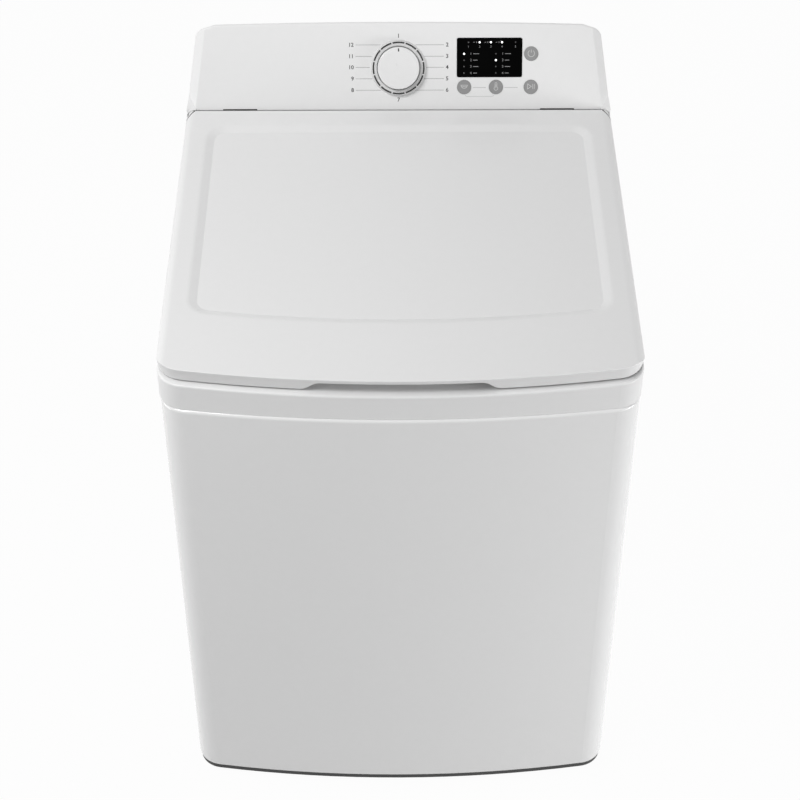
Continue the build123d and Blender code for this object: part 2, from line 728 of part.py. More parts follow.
def grip_cut():
    """Finger notch in the lid's front lip, whose ends sweep up in an S."""
    low, high = LID_GAP, LID_GAP + GRIP_HEIGHT
    half, top_half = GRIP_WIDTH / 2, GRIP_TOP_WIDTH / 2
    middle = (half + top_half) / 2
    outline = [
        Bezier((-half, low), (-middle, low), (-middle, high), (-top_half, high)),
        Line((-top_half, high), (top_half, high)),
        Bezier((top_half, high), (middle, high), (middle, low), (half, low)),
        Polyline((half, low), (half, low - PLASTIC), (-half, low - PLASTIC), (-half, low)),
    ]
    face = make_face(outline)
    return Pos(0, LID_SETBACK + GRIP_DEPTH, 0) * extrude(Plane.XZ * face, 2 * GRIP_DEPTH)


def hinge_notches():
    """Pockets under the lid's rear edge that leave room for the hinges."""
    width = HINGE_WIDTH + 4 * HINGE_SIDE_GAP
    top = LID_TOP - LID_WALL
    depth = HINGE_FROM_REAR + 2 * HINGE_EYE_R
    block = Box(width, depth, top, align=(Align.CENTER, Align.MAX, Align.MIN))
    return [Pos(s * HINGE_X, LID_REAR, 0) * block for s in (-1, 1)]


def lid_outer():
    """Lid moulding: a thick rim, a lowered panel, a finger notch and room for the hinges."""
    slab = lid_slab(LID_GAP)
    body = fillet(slab.faces().sort_by(Axis.Z)[-1].edges(), LID_EDGE_R) & side_roll(LID_GAP)
    body -= lid_recess(0, LID_RECESS_DEPTH)
    rim = body.faces().sort_by(Axis.Z)[-1].inner_wires()[0].edges()
    body = fillet(rim, LID_RECESS_EDGE_R)
    pocket = lid_form(0, LID_WALL) - lid_recess(LID_WALL, LID_RECESS_DEPTH + LID_WALL)
    body = body - pocket - grip_cut() - hinge_notches() - both_sides(cheek_room()) - both_sides(corner_line())
    return DECK * (body - rear_strip(2 * HINGE_REAR_RISE))


def rear_strip(height):
    """The band along the lid's rear edge that must stay clear of the deck as the lid swings."""
    return Pos(0, LID_REAR, 0) * Box(3 * TOP_HALF, 2 * REAR_BAND, height)


def pan_outline(inset=0.0):
    """The part of the inner panel that is pressed down over the throat."""
    half = TOP_HALF - LINER_MARGIN - inset
    front = LID_SETBACK + FRONT_BOW + LINER_MARGIN + inset
    rear = LID_REAR - REAR_BAND - LINER_MARGIN / 2 - inset
    return Pos(0, (front + rear) / 2) * rounded(2 * half, rear - front, max(LINER_R - inset, LEAST_R))


def pan_block(low, high, inset):
    floor = Pos(0, 0, low) * pan_outline(inset + LINER_DROP)
    return loft([Pos(0, 0, high) * pan_outline(inset), floor], ruled=True)


def grip_box(grow, low, high):
    """Room for the fingers behind the notch."""
    width = GRIP_WIDTH + 2 * grow
    return Pos(0, LID_SETBACK, low) * Box(width, 2 * (GRIP_DEPTH + grow), high - low, align=STANDING)


def lid_inner():
    """Panel that closes the lid from below, pressed down in the middle, with walls round the finger room."""
    low, high = LINER_LOW, LINER_LOW + LINER_SKIN
    ceiling = LID_TOP - LID_WALL
    sheet = lid_outline(LID_WALL + PANEL_FIT + rim_draw(low))
    plate = extrude(Pos(0, 0, low) * sheet, LINER_SKIN)
    walls = extrude(Pos(0, 0, low) * sheet, ceiling - low) & grip_box(LINER_SKIN, low, ceiling)
    panel = plate + walls - grip_box(0, 0, ceiling)
    panel = panel + pan_block(low - LINER_DROP, high, 0)
    panel -= pan_block(low - LINER_DROP + LINER_SKIN, high, LINER_SKIN)
    return DECK * (panel - rear_strip(2 * LID_TOP))


def bumper_places():
    front = LID_SETBACK + FRONT_BOW + BUMPER_INSET
    return [(s * (TOP_HALF - BUMPER_INSET), front) for s in (-1, 1)]


def lid_bumpers():
    return group([deck_cylinder(x, y, BUMPER_R, REST_GAP, LINER_LOW) for x, y in bumper_places()])


def hinge_eye(s, low_x, high_x, radius):
    """Round eye about the hinge line of one hinge, between two places across its width."""
    middle = s * HINGE_X + (low_x + high_x) / 2
    return Pos(middle, HINGE_ALONG, HINGE_ABOVE_DECK) * Rot(0, 90, 0) * Cylinder(radius, high_x - low_x)


def hinge_brackets():
    """Each bracket stands on the deck and holds the pin between two ears."""
    brackets = []
    for s in (-1, 1):
        bracket = Pos(s * HINGE_X, HINGE_ALONG, 0) * Box(
            HINGE_WIDTH, 2 * HINGE_EYE_R, LEAF_THICKNESS, align=STANDING
        )
        for side in (-1, 1):
            middle = side * (HINGE_WIDTH - HINGE_EAR) / 2
            stem = Pos(s * HINGE_X + middle, HINGE_ALONG, 0) * Box(
                HINGE_EAR, HINGE_STEM, HINGE_ABOVE_DECK, align=STANDING
            )
            bracket += stem + hinge_eye(s, middle - HINGE_EAR / 2, middle + HINGE_EAR / 2, HINGE_EYE_R)
        bracket -= hinge_eye(s, -HINGE_WIDTH, HINGE_WIDTH, HINGE_PIN_R)
        brackets.append(DECK * bracket)
    return group(brackets)


def hinge_pins():
    half = HINGE_WIDTH / 2
    return group([DECK * hinge_eye(s, -half, half, HINGE_PIN_R) for s in (-1, 1)])


def hinge_leaves():
    """Leaves under the lid, each rolled round its pin."""
    leaves = []
    half = HINGE_WIDTH / 2 - HINGE_EAR - HINGE_SIDE_GAP
    top = LID_TOP - LID_WALL
    reach = LID_REAR - LID_RECESS_REAR + 2 * LID_WALL
    for s in (-1, 1):
        eye = hinge_eye(s, -half, half, HINGE_EYE_R)
        profile = make_face(
            Polyline(
                (HINGE_ALONG, HINGE_ABOVE_DECK + HINGE_EYE_R),
                (HINGE_ALONG - 2 * HINGE_EYE_R, top),
                (reach, top),
                (reach, top - LEAF_THICKNESS),
                (HINGE_ALONG - 2 * HINGE_EYE_R, top - LEAF_THICKNESS),
                (HINGE_ALONG, HINGE_ABOVE_DECK),
                close=True,
            )
        )
        arm = Pos(s * HINGE_X - half, 0, 0) * extrude(Plane.YZ * profile, 2 * half)
        leaf = eye + arm - hinge_eye(s, -half, half, HINGE_PIN_R + RUNNING_FIT)
        leaves.append(DECK * leaf)
    return group(leaves)


# Lid lock

def lid_strike():
    """Tongue under the lid that drops through the deck into the lock, with a hole for the bolt."""
    top = LINER_LOW
    tongue = Pos(LOCK_X, LOCK_Y, -STRIKE_REACH) * Box(
        STRIKE_THICKNESS, STRIKE_WIDTH, STRIKE_REACH + top, align=STANDING
    )
    foot = Pos(LOCK_X, LOCK_Y, top - STRIKE_FOOT) * Box(
        3 * STRIKE_THICKNESS, STRIKE_WIDTH, STRIKE_FOOT, align=STANDING
    )
    return DECK * (tongue + foot - bolt_bar(LOCK_X, BOLT_R + BOLT_HOLE_FIT, 4 * STRIKE_THICKNESS))


def bolt_bar(middle, radius, length):
    """Round bar along the bolt's line."""
    height = STRIKE_END + BOLT_R - STRIKE_REACH
    return Pos(middle, LOCK_Y, height) * Rot(0, 90, 0) * Cylinder(radius, length)


def lid_lock():
    """Lock housing under the deck: a slot for the strike and a bore for the bolt."""
    high = -PLASTIC
    body = Pos(LOCK_X - LOCK_WIDTH / 4, LOCK_Y, high - LOCK_HEIGHT) * Box(
        LOCK_WIDTH, LOCK_LENGTH, LOCK_HEIGHT, align=STANDING
    )
    slot = Pos(LOCK_X, LOCK_Y, high) * Box(
        STRIKE_THICKNESS + 2 * STRIKE_FIT, STRIKE_WIDTH + 2 * STRIKE_FIT, 2 * STRIKE_REACH
    )
    return DECK * (body - slot - bolt_bar(LOCK_X, BOLT_R + RUNNING_FIT, 2 * LOCK_WIDTH))


def lock_bolt():
    """Bolt of the lid lock, drawn back at rest."""
    front = LOCK_X - STRIKE_THICKNESS / 2 - STRIKE_FIT
    length = LOCK_WIDTH / 2 - STRIKE_FIT
    return DECK * bolt_bar(front - length / 2, BOLT_R, length)


# Console

def console_profile(inset=0.0):
    """Side view in Y and Z: a tilted face over an undercut, a falling top and a leaning back."""
    face_low = (FACE_ORIGIN.Y, FACE_ORIGIN.Z)
    face_high = (face_low[0] + CONSOLE_FACE * TILT_SIN, Z_CONSOLE_PEAK)
    brow = DECK.from_local_coords(Vector(0, FACE_ALONG + CONSOLE_UNDERCUT, FACE_LIFT))
    toe = DECK.from_local_coords(Vector(0, FACE_ALONG + CONSOLE_UNDERCUT, 0))
    heel_along = (Y_BACK - Y_SKIRT) / SLOPE_COS
    heel = DECK.from_local_coords(Vector(0, heel_along, 0))
    outline = Polyline(
        face_low,
        face_high,
        (Y_BACK - CONSOLE_BACK_LEAN, Z_CONSOLE_BACK),
        (Y_BACK, heel.Z),
        (toe.Y, toe.Z),
        (brow.Y, brow.Z),
        close=True,
    )
    face = make_face(outline)
    return offset(face, amount=-inset, kind=Kind.INTERSECTION) if inset else face


def console_front_view(inset=0.0):
    """The console seen square to its face: tapering sides, cut and rounded upper corners, a crowned top."""
    low, high = -CONSOLE_FACE, CONSOLE_FACE - CONSOLE_BLUNT - CONSOLE_CROWN
    shoulder = high - CONSOLE_CORNER_DROP
    foot, outer, inner = (TOP_HALF - CONSOLE_TAPER * up / CONSOLE_FACE for up in (low, shoulder, high))
    inner -= CONSOLE_CORNER_RUN
    crown = ThreePointArc((-inner, high), (0, high + CONSOLE_CROWN), (inner, high))
    right = [(inner, high), (outer, shoulder), (foot, low)]
    rest = Polyline(*right, *[(-x, up) for x, up in reversed(right)])
    face = make_face(crown + rest)
    face = fillet(face.vertices().sort_by(Axis.Y)[-4:], CONSOLE_CORNER_R)
    return offset(face, amount=-inset, kind=Kind.INTERSECTION) if inset else face


def bevel_cut(inset=0.0):
    """Wedge that takes the console face's right edge off, following its taper, drawn in by an inset."""
    drawn = inset * math.hypot(CONSOLE_BEVEL, CONSOLE_BEVEL_DEPTH) / CONSOLE_BEVEL_DEPTH
    sections = []
    for up in (CONSOLE_SILL - inset, 2 * CONSOLE_FACE):
        edge = TOP_HALF - CONSOLE_TAPER * up / CONSOLE_FACE - CONSOLE_BEVEL - drawn
        corner = make_face(
            Polyline(
                (edge, 0),
                (edge + 3 * CONSOLE_BEVEL, -3 * CONSOLE_BEVEL_DEPTH),
                (edge + 3 * CONSOLE_BEVEL, CONSOLE_BEVEL),
                (edge, CONSOLE_BEVEL),
                close=True,
            )
        )
        sections.append(on_face(0, up) * (Plane.XZ * corner))
    return loft(sections, ruled=True)


def console_block(inset=0.0):
    width = 2 * TOP_HALF - 2 * inset
    side = Pos(-width / 2, 0, 0) * extrude(Plane.YZ * console_profile(inset), width)
    front = extrude(FACE * console_front_view(inset), DEPTH, both=True)
    return side & front


def on_face(x, up, depth=0.0):
    """Frame on the console's face, with its Z axis out of the face."""
    return FACE * Pos(x, up, depth)


def face_cylinder(x, up, radius, low, high):
    return on_face(x, up, low) * Cylinder(radius, high - low, align=STANDING)


def post_places():
    """Posts behind the face that hold the control board, clear of the controls."""
    rows = (BOARD_MARGIN, CONSOLE_FACE - BOARD_TOP_MARGIN)
    return [(x, up) for x in (BOARD_LEFT, BOARD_RIGHT) for up in rows]


def flat_face(block):
    """The flat of the console's face, between its creases."""
    return block.faces().filter_by(lambda f: (f.normal_at() - FACE.z_dir).length < FLAT_TOLERANCE)[0]


def crease_edges(block):
    """The long edges between the face and its bevels."""
    edges = flat_face(block).edges()
    ups = [FACE.to_local_coords(edge.center()).Y / CONSOLE_FACE for edge in edges]
    return [edge for edge, up in zip(edges, ups) if 1 - UPPER_PART < up < UPPER_PART]


def upper_edges(block):
    """Edges along the top of the face and its bevels, and round the upper corners."""
    front = block.faces().filter_by(lambda f: f.normal_at().dot(FACE.z_dir) > FACING)
    edges = [edge for face in front for edge in face.edges()]
    return [edge for edge in edges if FACE.to_local_coords(edge.center()).Y > UPPER_PART * CONSOLE_FACE]


def console_housing():
    """Console moulding, open behind: a face with rounded creases to its bevels and seats for the controls."""
    block = console_block() - both_sides(bevel_cut())
    block = fillet(crease_edges(block), CONSOLE_CREASE_R)
    block = fillet(flat_face(block).edges().sort_by(Axis.Z)[0], CONSOLE_EDGE_R)
    block = fillet(upper_edges(block), CONSOLE_TOP_R)
    hollow = console_block(CONSOLE_WALL) - both_sides(bevel_cut(CONSOLE_WALL))
    floor = DECK * Pos(0, FACE_ALONG + CONSOLE_UNDERCUT + PLASTIC, 0) * Box(
        2 * (TOP_HALF - 2 * PLASTIC),
        CONSOLE_DEPTH - CONSOLE_UNDERCUT - CONSOLE_GAP - 4 * PLASTIC,
        4 * PLASTIC,
        align=(Align.CENTER, Align.MIN, Align.CENTER),
    )
    cheeks = [DECK * side for side in both_sides(console_cheek())]
    housing = block + cheeks - hollow - floor - back_opening(0)
    housing = housing + [face_cylinder(x, up, POST_R, -BOARD_BEHIND, -PLASTIC / 2) for x, up in post_places()]
    housing -= face_cylinder(0, KNOB_UP, KNOB_SHAFT_R + KNOB_FIT, -2 * PLASTIC, PLASTIC)
    window = rounded(DISPLAY_WIDTH + 2 * PANEL_FIT, DISPLAY_HEIGHT + 2 * PANEL_FIT, DISPLAY_R)
    ledge = rounded(DISPLAY_WIDTH - 2 * DISPLAY_LEDGE, DISPLAY_HEIGHT - 2 * DISPLAY_LEDGE, DISPLAY_R)
    seat = DISPLAY_THICKNESS - DISPLAY_PROUD
    housing -= on_face(DISPLAY_X, DISPLAY_UP, -seat) * extrude(window, 2 * PLASTIC)
    housing -= on_face(DISPLAY_X, DISPLAY_UP, -2 * PLASTIC) * extrude(ledge, 2 * PLASTIC)
    for x, up in BUTTONS.values():
        housing -= face_cylinder(x, up, BUTTON_R + BUTTON_FIT, -2 * PLASTIC, PLASTIC)
    return housing


def back_plane():
    """Frame on the console's leaning back, its Z axis out to the rear."""
    heel = DECK.from_local_coords(Vector(0, (Y_BACK - Y_SKIRT) / SLOPE_COS, 0))
    run = math.hypot(CONSOLE_BACK_LEAN, Z_CONSOLE_BACK - heel.Z)
    lean = Vector(0, -CONSOLE_BACK_LEAN / run, (Z_CONSOLE_BACK - heel.Z) / run)
    plane = Plane(origin=(0, heel.Y, heel.Z), x_dir=(-1, 0, 0), z_dir=(0, lean.Z, -lean.Y))
    return plane, run


def back_opening(inset):
    """Opening in the console's back, or the cover that fills it when drawn in."""
    plane, run = back_plane()
    width = 2 * (TOP_HALF - CONSOLE_TAPER - CONSOLE_BACK_FRAME - inset)
    height = run - 2 * CONSOLE_BACK_FRAME - CONSOLE_CROWN - 2 * inset
    middle = CONSOLE_BACK_FRAME + inset + height / 2
    shape = rounded(width, height, CONSOLE_BACK_FRAME / 2)
    return plane * Pos(0, middle, -PLASTIC) * extrude(shape, 2 * PLASTIC)


def console_back():
    """Rear cover: a plate in the opening with a lip behind the frame and a row of vents."""
    plane, run = back_plane()
    width = 2 * (TOP_HALF - CONSOLE_TAPER - CONSOLE_BACK_FRAME - PANEL_FIT)
    height = run - 2 * CONSOLE_BACK_FRAME - CONSOLE_CROWN - 2 * PANEL_FIT
    middle = CONSOLE_BACK_FRAME + PANEL_FIT + height / 2
    plate = extrude(rounded(width, height, CONSOLE_BACK_FRAME / 2), CONSOLE_BACK_SKIN)
    vent = Box(VENT_WIDTH, VENT_HEIGHT, 4 * CONSOLE_BACK_SKIN)
    vents = [Pos(index * VENT_PITCH - VENT_START, 0, 0) * vent for index in range(VENT_COUNT)]
    return plane * Pos(0, middle, -PLASTIC) * (plate - vents)


def display_window():
    shape = rounded(DISPLAY_WIDTH, DISPLAY_HEIGHT, DISPLAY_R)
    place = on_face(DISPLAY_X, DISPLAY_UP, DISPLAY_PROUD - DISPLAY_THICKNESS)
    return place * extrude(shape, DISPLAY_THICKNESS)


def control_board():
    """Board on the posts, with the dial's encoder, the buttons' switches and the display's lamp block."""
    xs = [x for x, _ in post_places()]
    ups = [up for _, up in post_places()]
    width = max(xs) - min(xs) + BOARD_MARGIN
    height = max(ups) - min(ups) + BOARD_MARGIN
    middle = ((max(xs) + min(xs)) / 2, (max(ups) + min(ups)) / 2)
    board = on_face(*middle, -BOARD_BEHIND - BOARD_THICKNESS / 2) * Box(width, height, BOARD_THICKNESS)
    encoder = on_face(0, KNOB_UP, -BOARD_BEHIND) * Box(
        ENCODER_SIZE, ENCODER_SIZE, ENCODER_HEIGHT, align=STANDING
    )
    encoder -= face_cylinder(0, KNOB_UP, KNOB_SHAFT_R + RUNNING_FIT, -BOARD_BEHIND, 0)
    lamps = on_face(DISPLAY_X, DISPLAY_UP, -BOARD_BEHIND) * Box(
        DISPLAY_WIDTH - 4 * DISPLAY_LEDGE,
        DISPLAY_HEIGHT - 4 * DISPLAY_LEDGE,
        BOARD_BEHIND - DISPLAY_THICKNESS - LAMP_GAP,
        align=STANDING,
    )
    board = board + encoder + lamps
    for x, up in BUTTONS.values():
        board += on_face(x, up, -BOARD_BEHIND) * Box(SWITCH_SIZE, SWITCH_SIZE, SWITCH_SIZE, align=STANDING)
    return board


def dial_bezel():
    """Raised ring round the dial, with slots for its marks."""
    bore = KNOB_R + KNOB_FIT
    profile = make_face(
        Polyline(
            (bore, 0),
            (BEZEL_R + BEZEL_FLARE, 0),
            (BEZEL_R, BEZEL_HEIGHT - BEZEL_EDGE),
            (BEZEL_R - BEZEL_EDGE, BEZEL_HEIGHT),
            (bore + BEZEL_EDGE, BEZEL_HEIGHT),
            (bore, BEZEL_HEIGHT - BEZEL_EDGE),
            close=True,
        )
    )
    return on_face(0, KNOB_UP) * revolve(Plane.XZ * profile, Axis.Z) - mark_solids()


def mark_solids():
    """Short arcs let into the bezel's front, one for each dial position."""
    span = 360 / MARK_COUNT - MARK_GAP
    outer, inner = MARK_R, MARK_R - MARK_WIDTH
    band = make_face(
        Polyline(
            (inner, BEZEL_HEIGHT - MARK_DEPTH),
            (outer, BEZEL_HEIGHT - MARK_DEPTH),
            (outer, BEZEL_HEIGHT),
            (inner, BEZEL_HEIGHT),
            close=True,
        )
    )
    mark = revolve(Plane.XZ * band, Axis.Z, span)
    turns = [90 - span / 2 + index * 360 / MARK_COUNT for index in range(MARK_COUNT)]
    return [on_face(0, KNOB_UP) * Rot(0, 0, turn) * mark for turn in turns]


def dial_marks():
    return group(mark_solids())


def cycle_knob():
    """Flat-fronted knob with a rounded rim, a drafted side and a socket for its shaft."""
    low = BUTTON_PROUD
    profile = make_face(
        Polyline(
            (KNOB_SHAFT_R, low),
            (KNOB_R, low),
            (KNOB_R - KNOB_DRAFT, KNOB_HEIGHT),
            (0, KNOB_HEIGHT),
            (0, KNOB_HEIGHT - PLASTIC),
            (KNOB_SHAFT_R, KNOB_HEIGHT - PLASTIC),
            close=True,
        )
    )
    profile = fillet(profile.vertices().sort_by(lambda corner: corner.X + corner.Y)[-1], KNOB_EDGE_R)
    return on_face(0, KNOB_UP) * revolve(Plane.XZ * profile, Axis.Z) - knob_pointer()


def knob_pointer():
    """Dark mark let into the knob's front."""
    return on_face(0, KNOB_UP + POINTER_R, KNOB_HEIGHT - MARK_DEPTH) * Box(
        POINTER_WIDTH, POINTER_LENGTH, MARK_DEPTH, align=STANDING
    )


def knob_shaft():
    return face_cylinder(0, KNOB_UP, KNOB_SHAFT_R, -BOARD_BEHIND, KNOB_HEIGHT - PLASTIC)


def button(name):
    """Round key with a stem that stops short of its switch."""
    x, up = BUTTONS[name]
    cap = face_cylinder(x, up, BUTTON_R, -PLASTIC, BUTTON_PROUD)
    switch_top = SWITCH_SIZE - BOARD_BEHIND
    stem = face_cylinder(x, up, BUTTON_STEM_R, switch_top + BUTTON_TRAVEL + REST_GAP, -PLASTIC)
    return cap + stem


# Tub

def ear_places():
    """Direction and distance from the tub's axis to each suspension rod."""
    return [(sx * ROD_X, TUB_Y + sy * ROD_Y) for sx, sy in CORNERS]


def outer_tub():
    """Moulded tub: a round floor corner, a flanged rim, a drain port and four ears for the rods."""
    wall = TUB_WALL
    inner = TUB_R - wall
    bore = BEARING_R
    lip = TUB_R + TUB_LIP
    profile = make_face(
        [
            Line((bore, Z_TUB), (TUB_R - TUB_FLOOR_R, Z_TUB)),
            RadiusArc((TUB_R - TUB_FLOOR_R, Z_TUB), (TUB_R, Z_TUB + TUB_FLOOR_R), -TUB_FLOOR_R),
            Polyline(
                (TUB_R, Z_TUB + TUB_FLOOR_R),
                (TUB_R, Z_TUB_RIM - TUB_LIP_HEIGHT),
                (lip, Z_TUB_RIM - TUB_LIP_HEIGHT),
                (lip, Z_TUB_RIM),
                (inner, Z_TUB_RIM),
                (inner, Z_TUB + TUB_FLOOR_R),
            ),
            RadiusArc(
                (inner, Z_TUB + TUB_FLOOR_R),
                (TUB_R - TUB_FLOOR_R, Z_TUB + wall),
                TUB_FLOOR_R - wall,
            ),
            Polyline((TUB_R - TUB_FLOOR_R, Z_TUB + wall), (bore, Z_TUB + wall), (bore, Z_TUB)),
        ]
    )
    tub = Pos(0, TUB_Y, 0) * revolve(Plane.XZ * profile, Axis.Z)
    hollow = ring(inner, 0, Z_PLATE, Z_TUB_RIM)
    for x, y in ear_places():
        turn = math.degrees(math.atan2(y - TUB_Y, x))
        reach = math.hypot(x, y - TUB_Y)
        arm = Pos((reach + inner) / 2, 0) * Rectangle(reach - inner, 2 * EAR_R)
        pad = Pos(reach, 0) * Circle(EAR_R) + arm
        ear = extrude(Pos(0, 0, Z_EAR) * pad, EAR_THICKNESS)
        web = extrude(
            Plane.XZ
            * make_face(
                Polyline(
                    (inner, Z_EAR + EAR_THICKNESS),
                    (reach - EAR_R / 2, Z_EAR + EAR_THICKNESS),
                    (inner, Z_EAR + EAR_THICKNESS + reach - inner),
                    close=True,
                )
            ),
            TUB_WALL,
            both=True,
        )
        ear = ear + Pos(0, EAR_R - TUB_WALL, 0) * web + Pos(0, TUB_WALL - EAR_R, 0) * web
        ear -= Pos(reach, 0, Z_EAR) * Cylinder(ROD_R + ROD_FIT, 4 * EAR_THICKNESS)
        tub += Pos(0, TUB_Y, 0) * Rot(0, 0, turn) * ear - hollow
    low = Z_TUB - DRAIN_PORT_LENGTH
    tub += pump_ring(DRAIN_PORT_R, 0, low, Z_TUB)
    return tub - pump_ring(DRAIN_PORT_R - wall, 0, low, Z_TUB + wall)


def tub_ring():
    """Splash ring on the tub's rim, which reaches in over the basket."""
    outer, inner, wall = TUB_R + TUB_LIP, TUB_R - RING_OVERHANG, TUB_R - TUB_WALL
    high, low, under = Z_RING_TOP, Z_TUB_RIM, Z_RING_TOP - RING_WALL
    return turned(
        [
            (wall, low),
            (outer, low),
            (outer, high - RING_CHAMFER),
            (outer - RING_CHAMFER, high),
            (inner + RING_WALL, high),
            (inner, under),
            (inner, high - RING_LIP_DROP),
            (inner + RING_WALL, high - RING_LIP_DROP),
            (inner + RING_WALL, under),
            (wall - RING_CHAMFER, under),
            (wall, under - RING_CHAMFER),
        ]
    )


def tub_seal():
    return ring(BEARING_R, SPIN_TUBE_R + RUNNING_FIT, Z_TUB + TUB_WALL - SEAL_HEIGHT, Z_TUB + TUB_WALL)


# Basket

def basket_wall():
    """Rolled steel drum wall, open at both ends and perforated all round."""
    low, high = Z_BASKET + BASKET_FLOOR_R, Z_BASKET_TOP
    wall = ring(BASKET_R, BASKET_R - BASKET_WALL, low, high)
    bottom = low + HOLE_MARGIN
    top = high - BALANCE_HEIGHT - HOLE_MARGIN
    pitch = (top - bottom) / (HOLE_ROWS - 1)
    drills = []
    for column in range(HOLE_COLUMNS):
        turn = Rot(0, 0, column * 360 / HOLE_COLUMNS)
        stagger = pitch / 2 if column % 2 else 0
        for row in range(HOLE_ROWS - column % 2):
            place = Pos(BASKET_R, 0, bottom + stagger + row * pitch) * Rot(0, 90, 0)
            drills.append(Pos(0, TUB_Y, 0) * turn * place * Cylinder(HOLE_R, 6 * BASKET_WALL))
    return wall - drills


def basket_floor():
    """Dished floor of the basket, whose rolled rim carries the wall."""
    bore = SPIN_TUBE_R + RUNNING_FIT
    wall = BASKET_WALL
    corner = BASKET_R - BASKET_FLOOR_R
    profile = make_face(
        [
            Line((bore, Z_BASKET), (corner, Z_BASKET)),
            RadiusArc((corner, Z_BASKET), (BASKET_R, Z_BASKET + BASKET_FLOOR_R), -BASKET_FLOOR_R),
            Line((BASKET_R, Z_BASKET + BASKET_FLOOR_R), (BASKET_R - wall, Z_BASKET + BASKET_FLOOR_R)),
            RadiusArc(
                (BASKET_R - wall, Z_BASKET + BASKET_FLOOR_R), (corner, Z_BASKET + wall), BASKET_FLOOR_R - wall
            ),
            Polyline((corner, Z_BASKET + wall), (bore, Z_BASKET + wall), (bore, Z_BASKET)),
        ]
    )
    return Pos(0, TUB_Y, 0) * revolve(Plane.XZ * profile, Axis.Z)


def balance_ring():
    """Liquid-filled ring inside the basket's rim, rounded where laundry slides past."""
    outer, inner = BASKET_R - BASKET_WALL - BALANCE_FIT, BALANCE_INNER_R
    middle = ((outer + inner) / 2, Z_BASKET_TOP - BALANCE_HEIGHT / 2)
    section = Pos(*middle) * Rectangle(outer - inner, BALANCE_HEIGHT)
    low = section.vertices().sort_by(lambda corner: corner.X + corner.Y)[0]
    section = fillet(low, BALANCE_LOW_R)
    section = fillet(section.vertices().sort_by(lambda corner: corner.X - corner.Y)[0], BALANCE_TOP_R)
    return Pos(0, TUB_Y, 0) * revolve(Plane.XZ * section, Axis.Z)


def basket_hub():
    """Cast hub under the basket's floor, with arms that spread its load."""
    low = Z_TUB + TUB_WALL + HUB_CLEARANCE
    bore = SPIN_TUBE_R + RUNNING_FIT
    hub = ring(HUB_R, 0, low, Z_BASKET) + ring(HUB_FLANGE_R, 0, Z_BASKET - HUB_FLANGE, Z_BASKET)
    for index in range(HUB_ARMS):
        turn = Rot(0, 0, index * 360 / HUB_ARMS + HUB_ARM_TURN)
        arm = Box(
            BASKET_R - HUB_ARM_MARGIN,
            HUB_ARM_WIDTH,
            HUB_ARM_DEPTH,
            align=(Align.MIN, Align.CENTER, Align.MAX),
        )
        hub += Pos(0, TUB_Y, Z_BASKET) * turn * arm
    return hub - ring(bore, 0, low, Z_BASKET)


def spin_tube():
    return ring(SPIN_TUBE_R, WASH_SHAFT_R + RUNNING_FIT, Z_SHAFTS, Z_BASKET + BASKET_WALL)


# Impeller

def impeller():
    """Wash plate: a dished disc, a domed middle and curved vanes."""
    low, base, skin = Z_IMPELLER, Z_IMPELLER + IMPELLER_WALL, IMPELLER_WALL
    boss = WASH_SHAFT_R + BOSS_WALL
    foot = IMPELLER_DOME_R + IMPELLER_SWEEP
    disc = turned(
        [
            (WASH_SHAFT_R, low),
            (boss, low),
            (boss, Z_CAP_SEAT - skin),
            (CAP_R + CAP_WALL - skin, Z_CAP_SEAT - skin),
            (IMPELLER_DOME_R - skin, base + IMPELLER_WAIST - skin / 2),
            (foot - skin / 2, base + IMPELLER_SWELL - skin),
            (IMPELLER_R - IMPELLER_RIM_WIDTH, base - skin),
            (IMPELLER_R, low + IMPELLER_RIM),
            (IMPELLER_R - IMPELLER_RIM_EDGE, low + IMPELLER_RIM + IMPELLER_RIM_EDGE),
            (IMPELLER_R - IMPELLER_RIM_WIDTH - skin / 2, base),
            (foot, base + IMPELLER_SWELL),
            (IMPELLER_DOME_R, base + IMPELLER_WAIST),
            (CAP_R + CAP_WALL, Z_DOME),
            (CAP_R + CAP_FIT, Z_DOME),
            (CAP_R + CAP_FIT, Z_CAP_SEAT),
            (WASH_SHAFT_R, Z_CAP_SEAT),
        ]
    )
    root, middle, tip = VANE_SWEEP
    spine = ThreePointArc((VANE_ROOT_R, root), ((VANE_ROOT_R + VANE_TIP_R) / 2, middle), (VANE_TIP_R, tip))
    vane = extrude(Pos(0, 0, low) * SlotArc(spine, VANE_WIDTH), skin + VANE_HEIGHT, taper=VANE_TAPER)
    vane = chamfer(vane.faces().sort_by(Axis.Z)[-1].edges(), VANE_EDGE)
    vane -= Pos(0, -TUB_Y, 0) * ring(IMPELLER_R, 0, low, base - skin / 2)
    for index in range(VANE_COUNT):
        disc += Pos(0, TUB_Y, 0) * Rot(0, 0, index * 360 / VANE_COUNT) * vane
    return disc


def impeller_cap():
    cap = ring(CAP_R, 0, Z_CAP_SEAT, Z_CAP_SEAT + CAP_HEIGHT)
    return fillet(cap.edges().sort_by(Axis.Z)[-1], CAP_EDGE_R)


def wash_shaft():
    return ring(WASH_SHAFT_R, 0, Z_SHAFTS, Z_CAP_SEAT)


# Drive

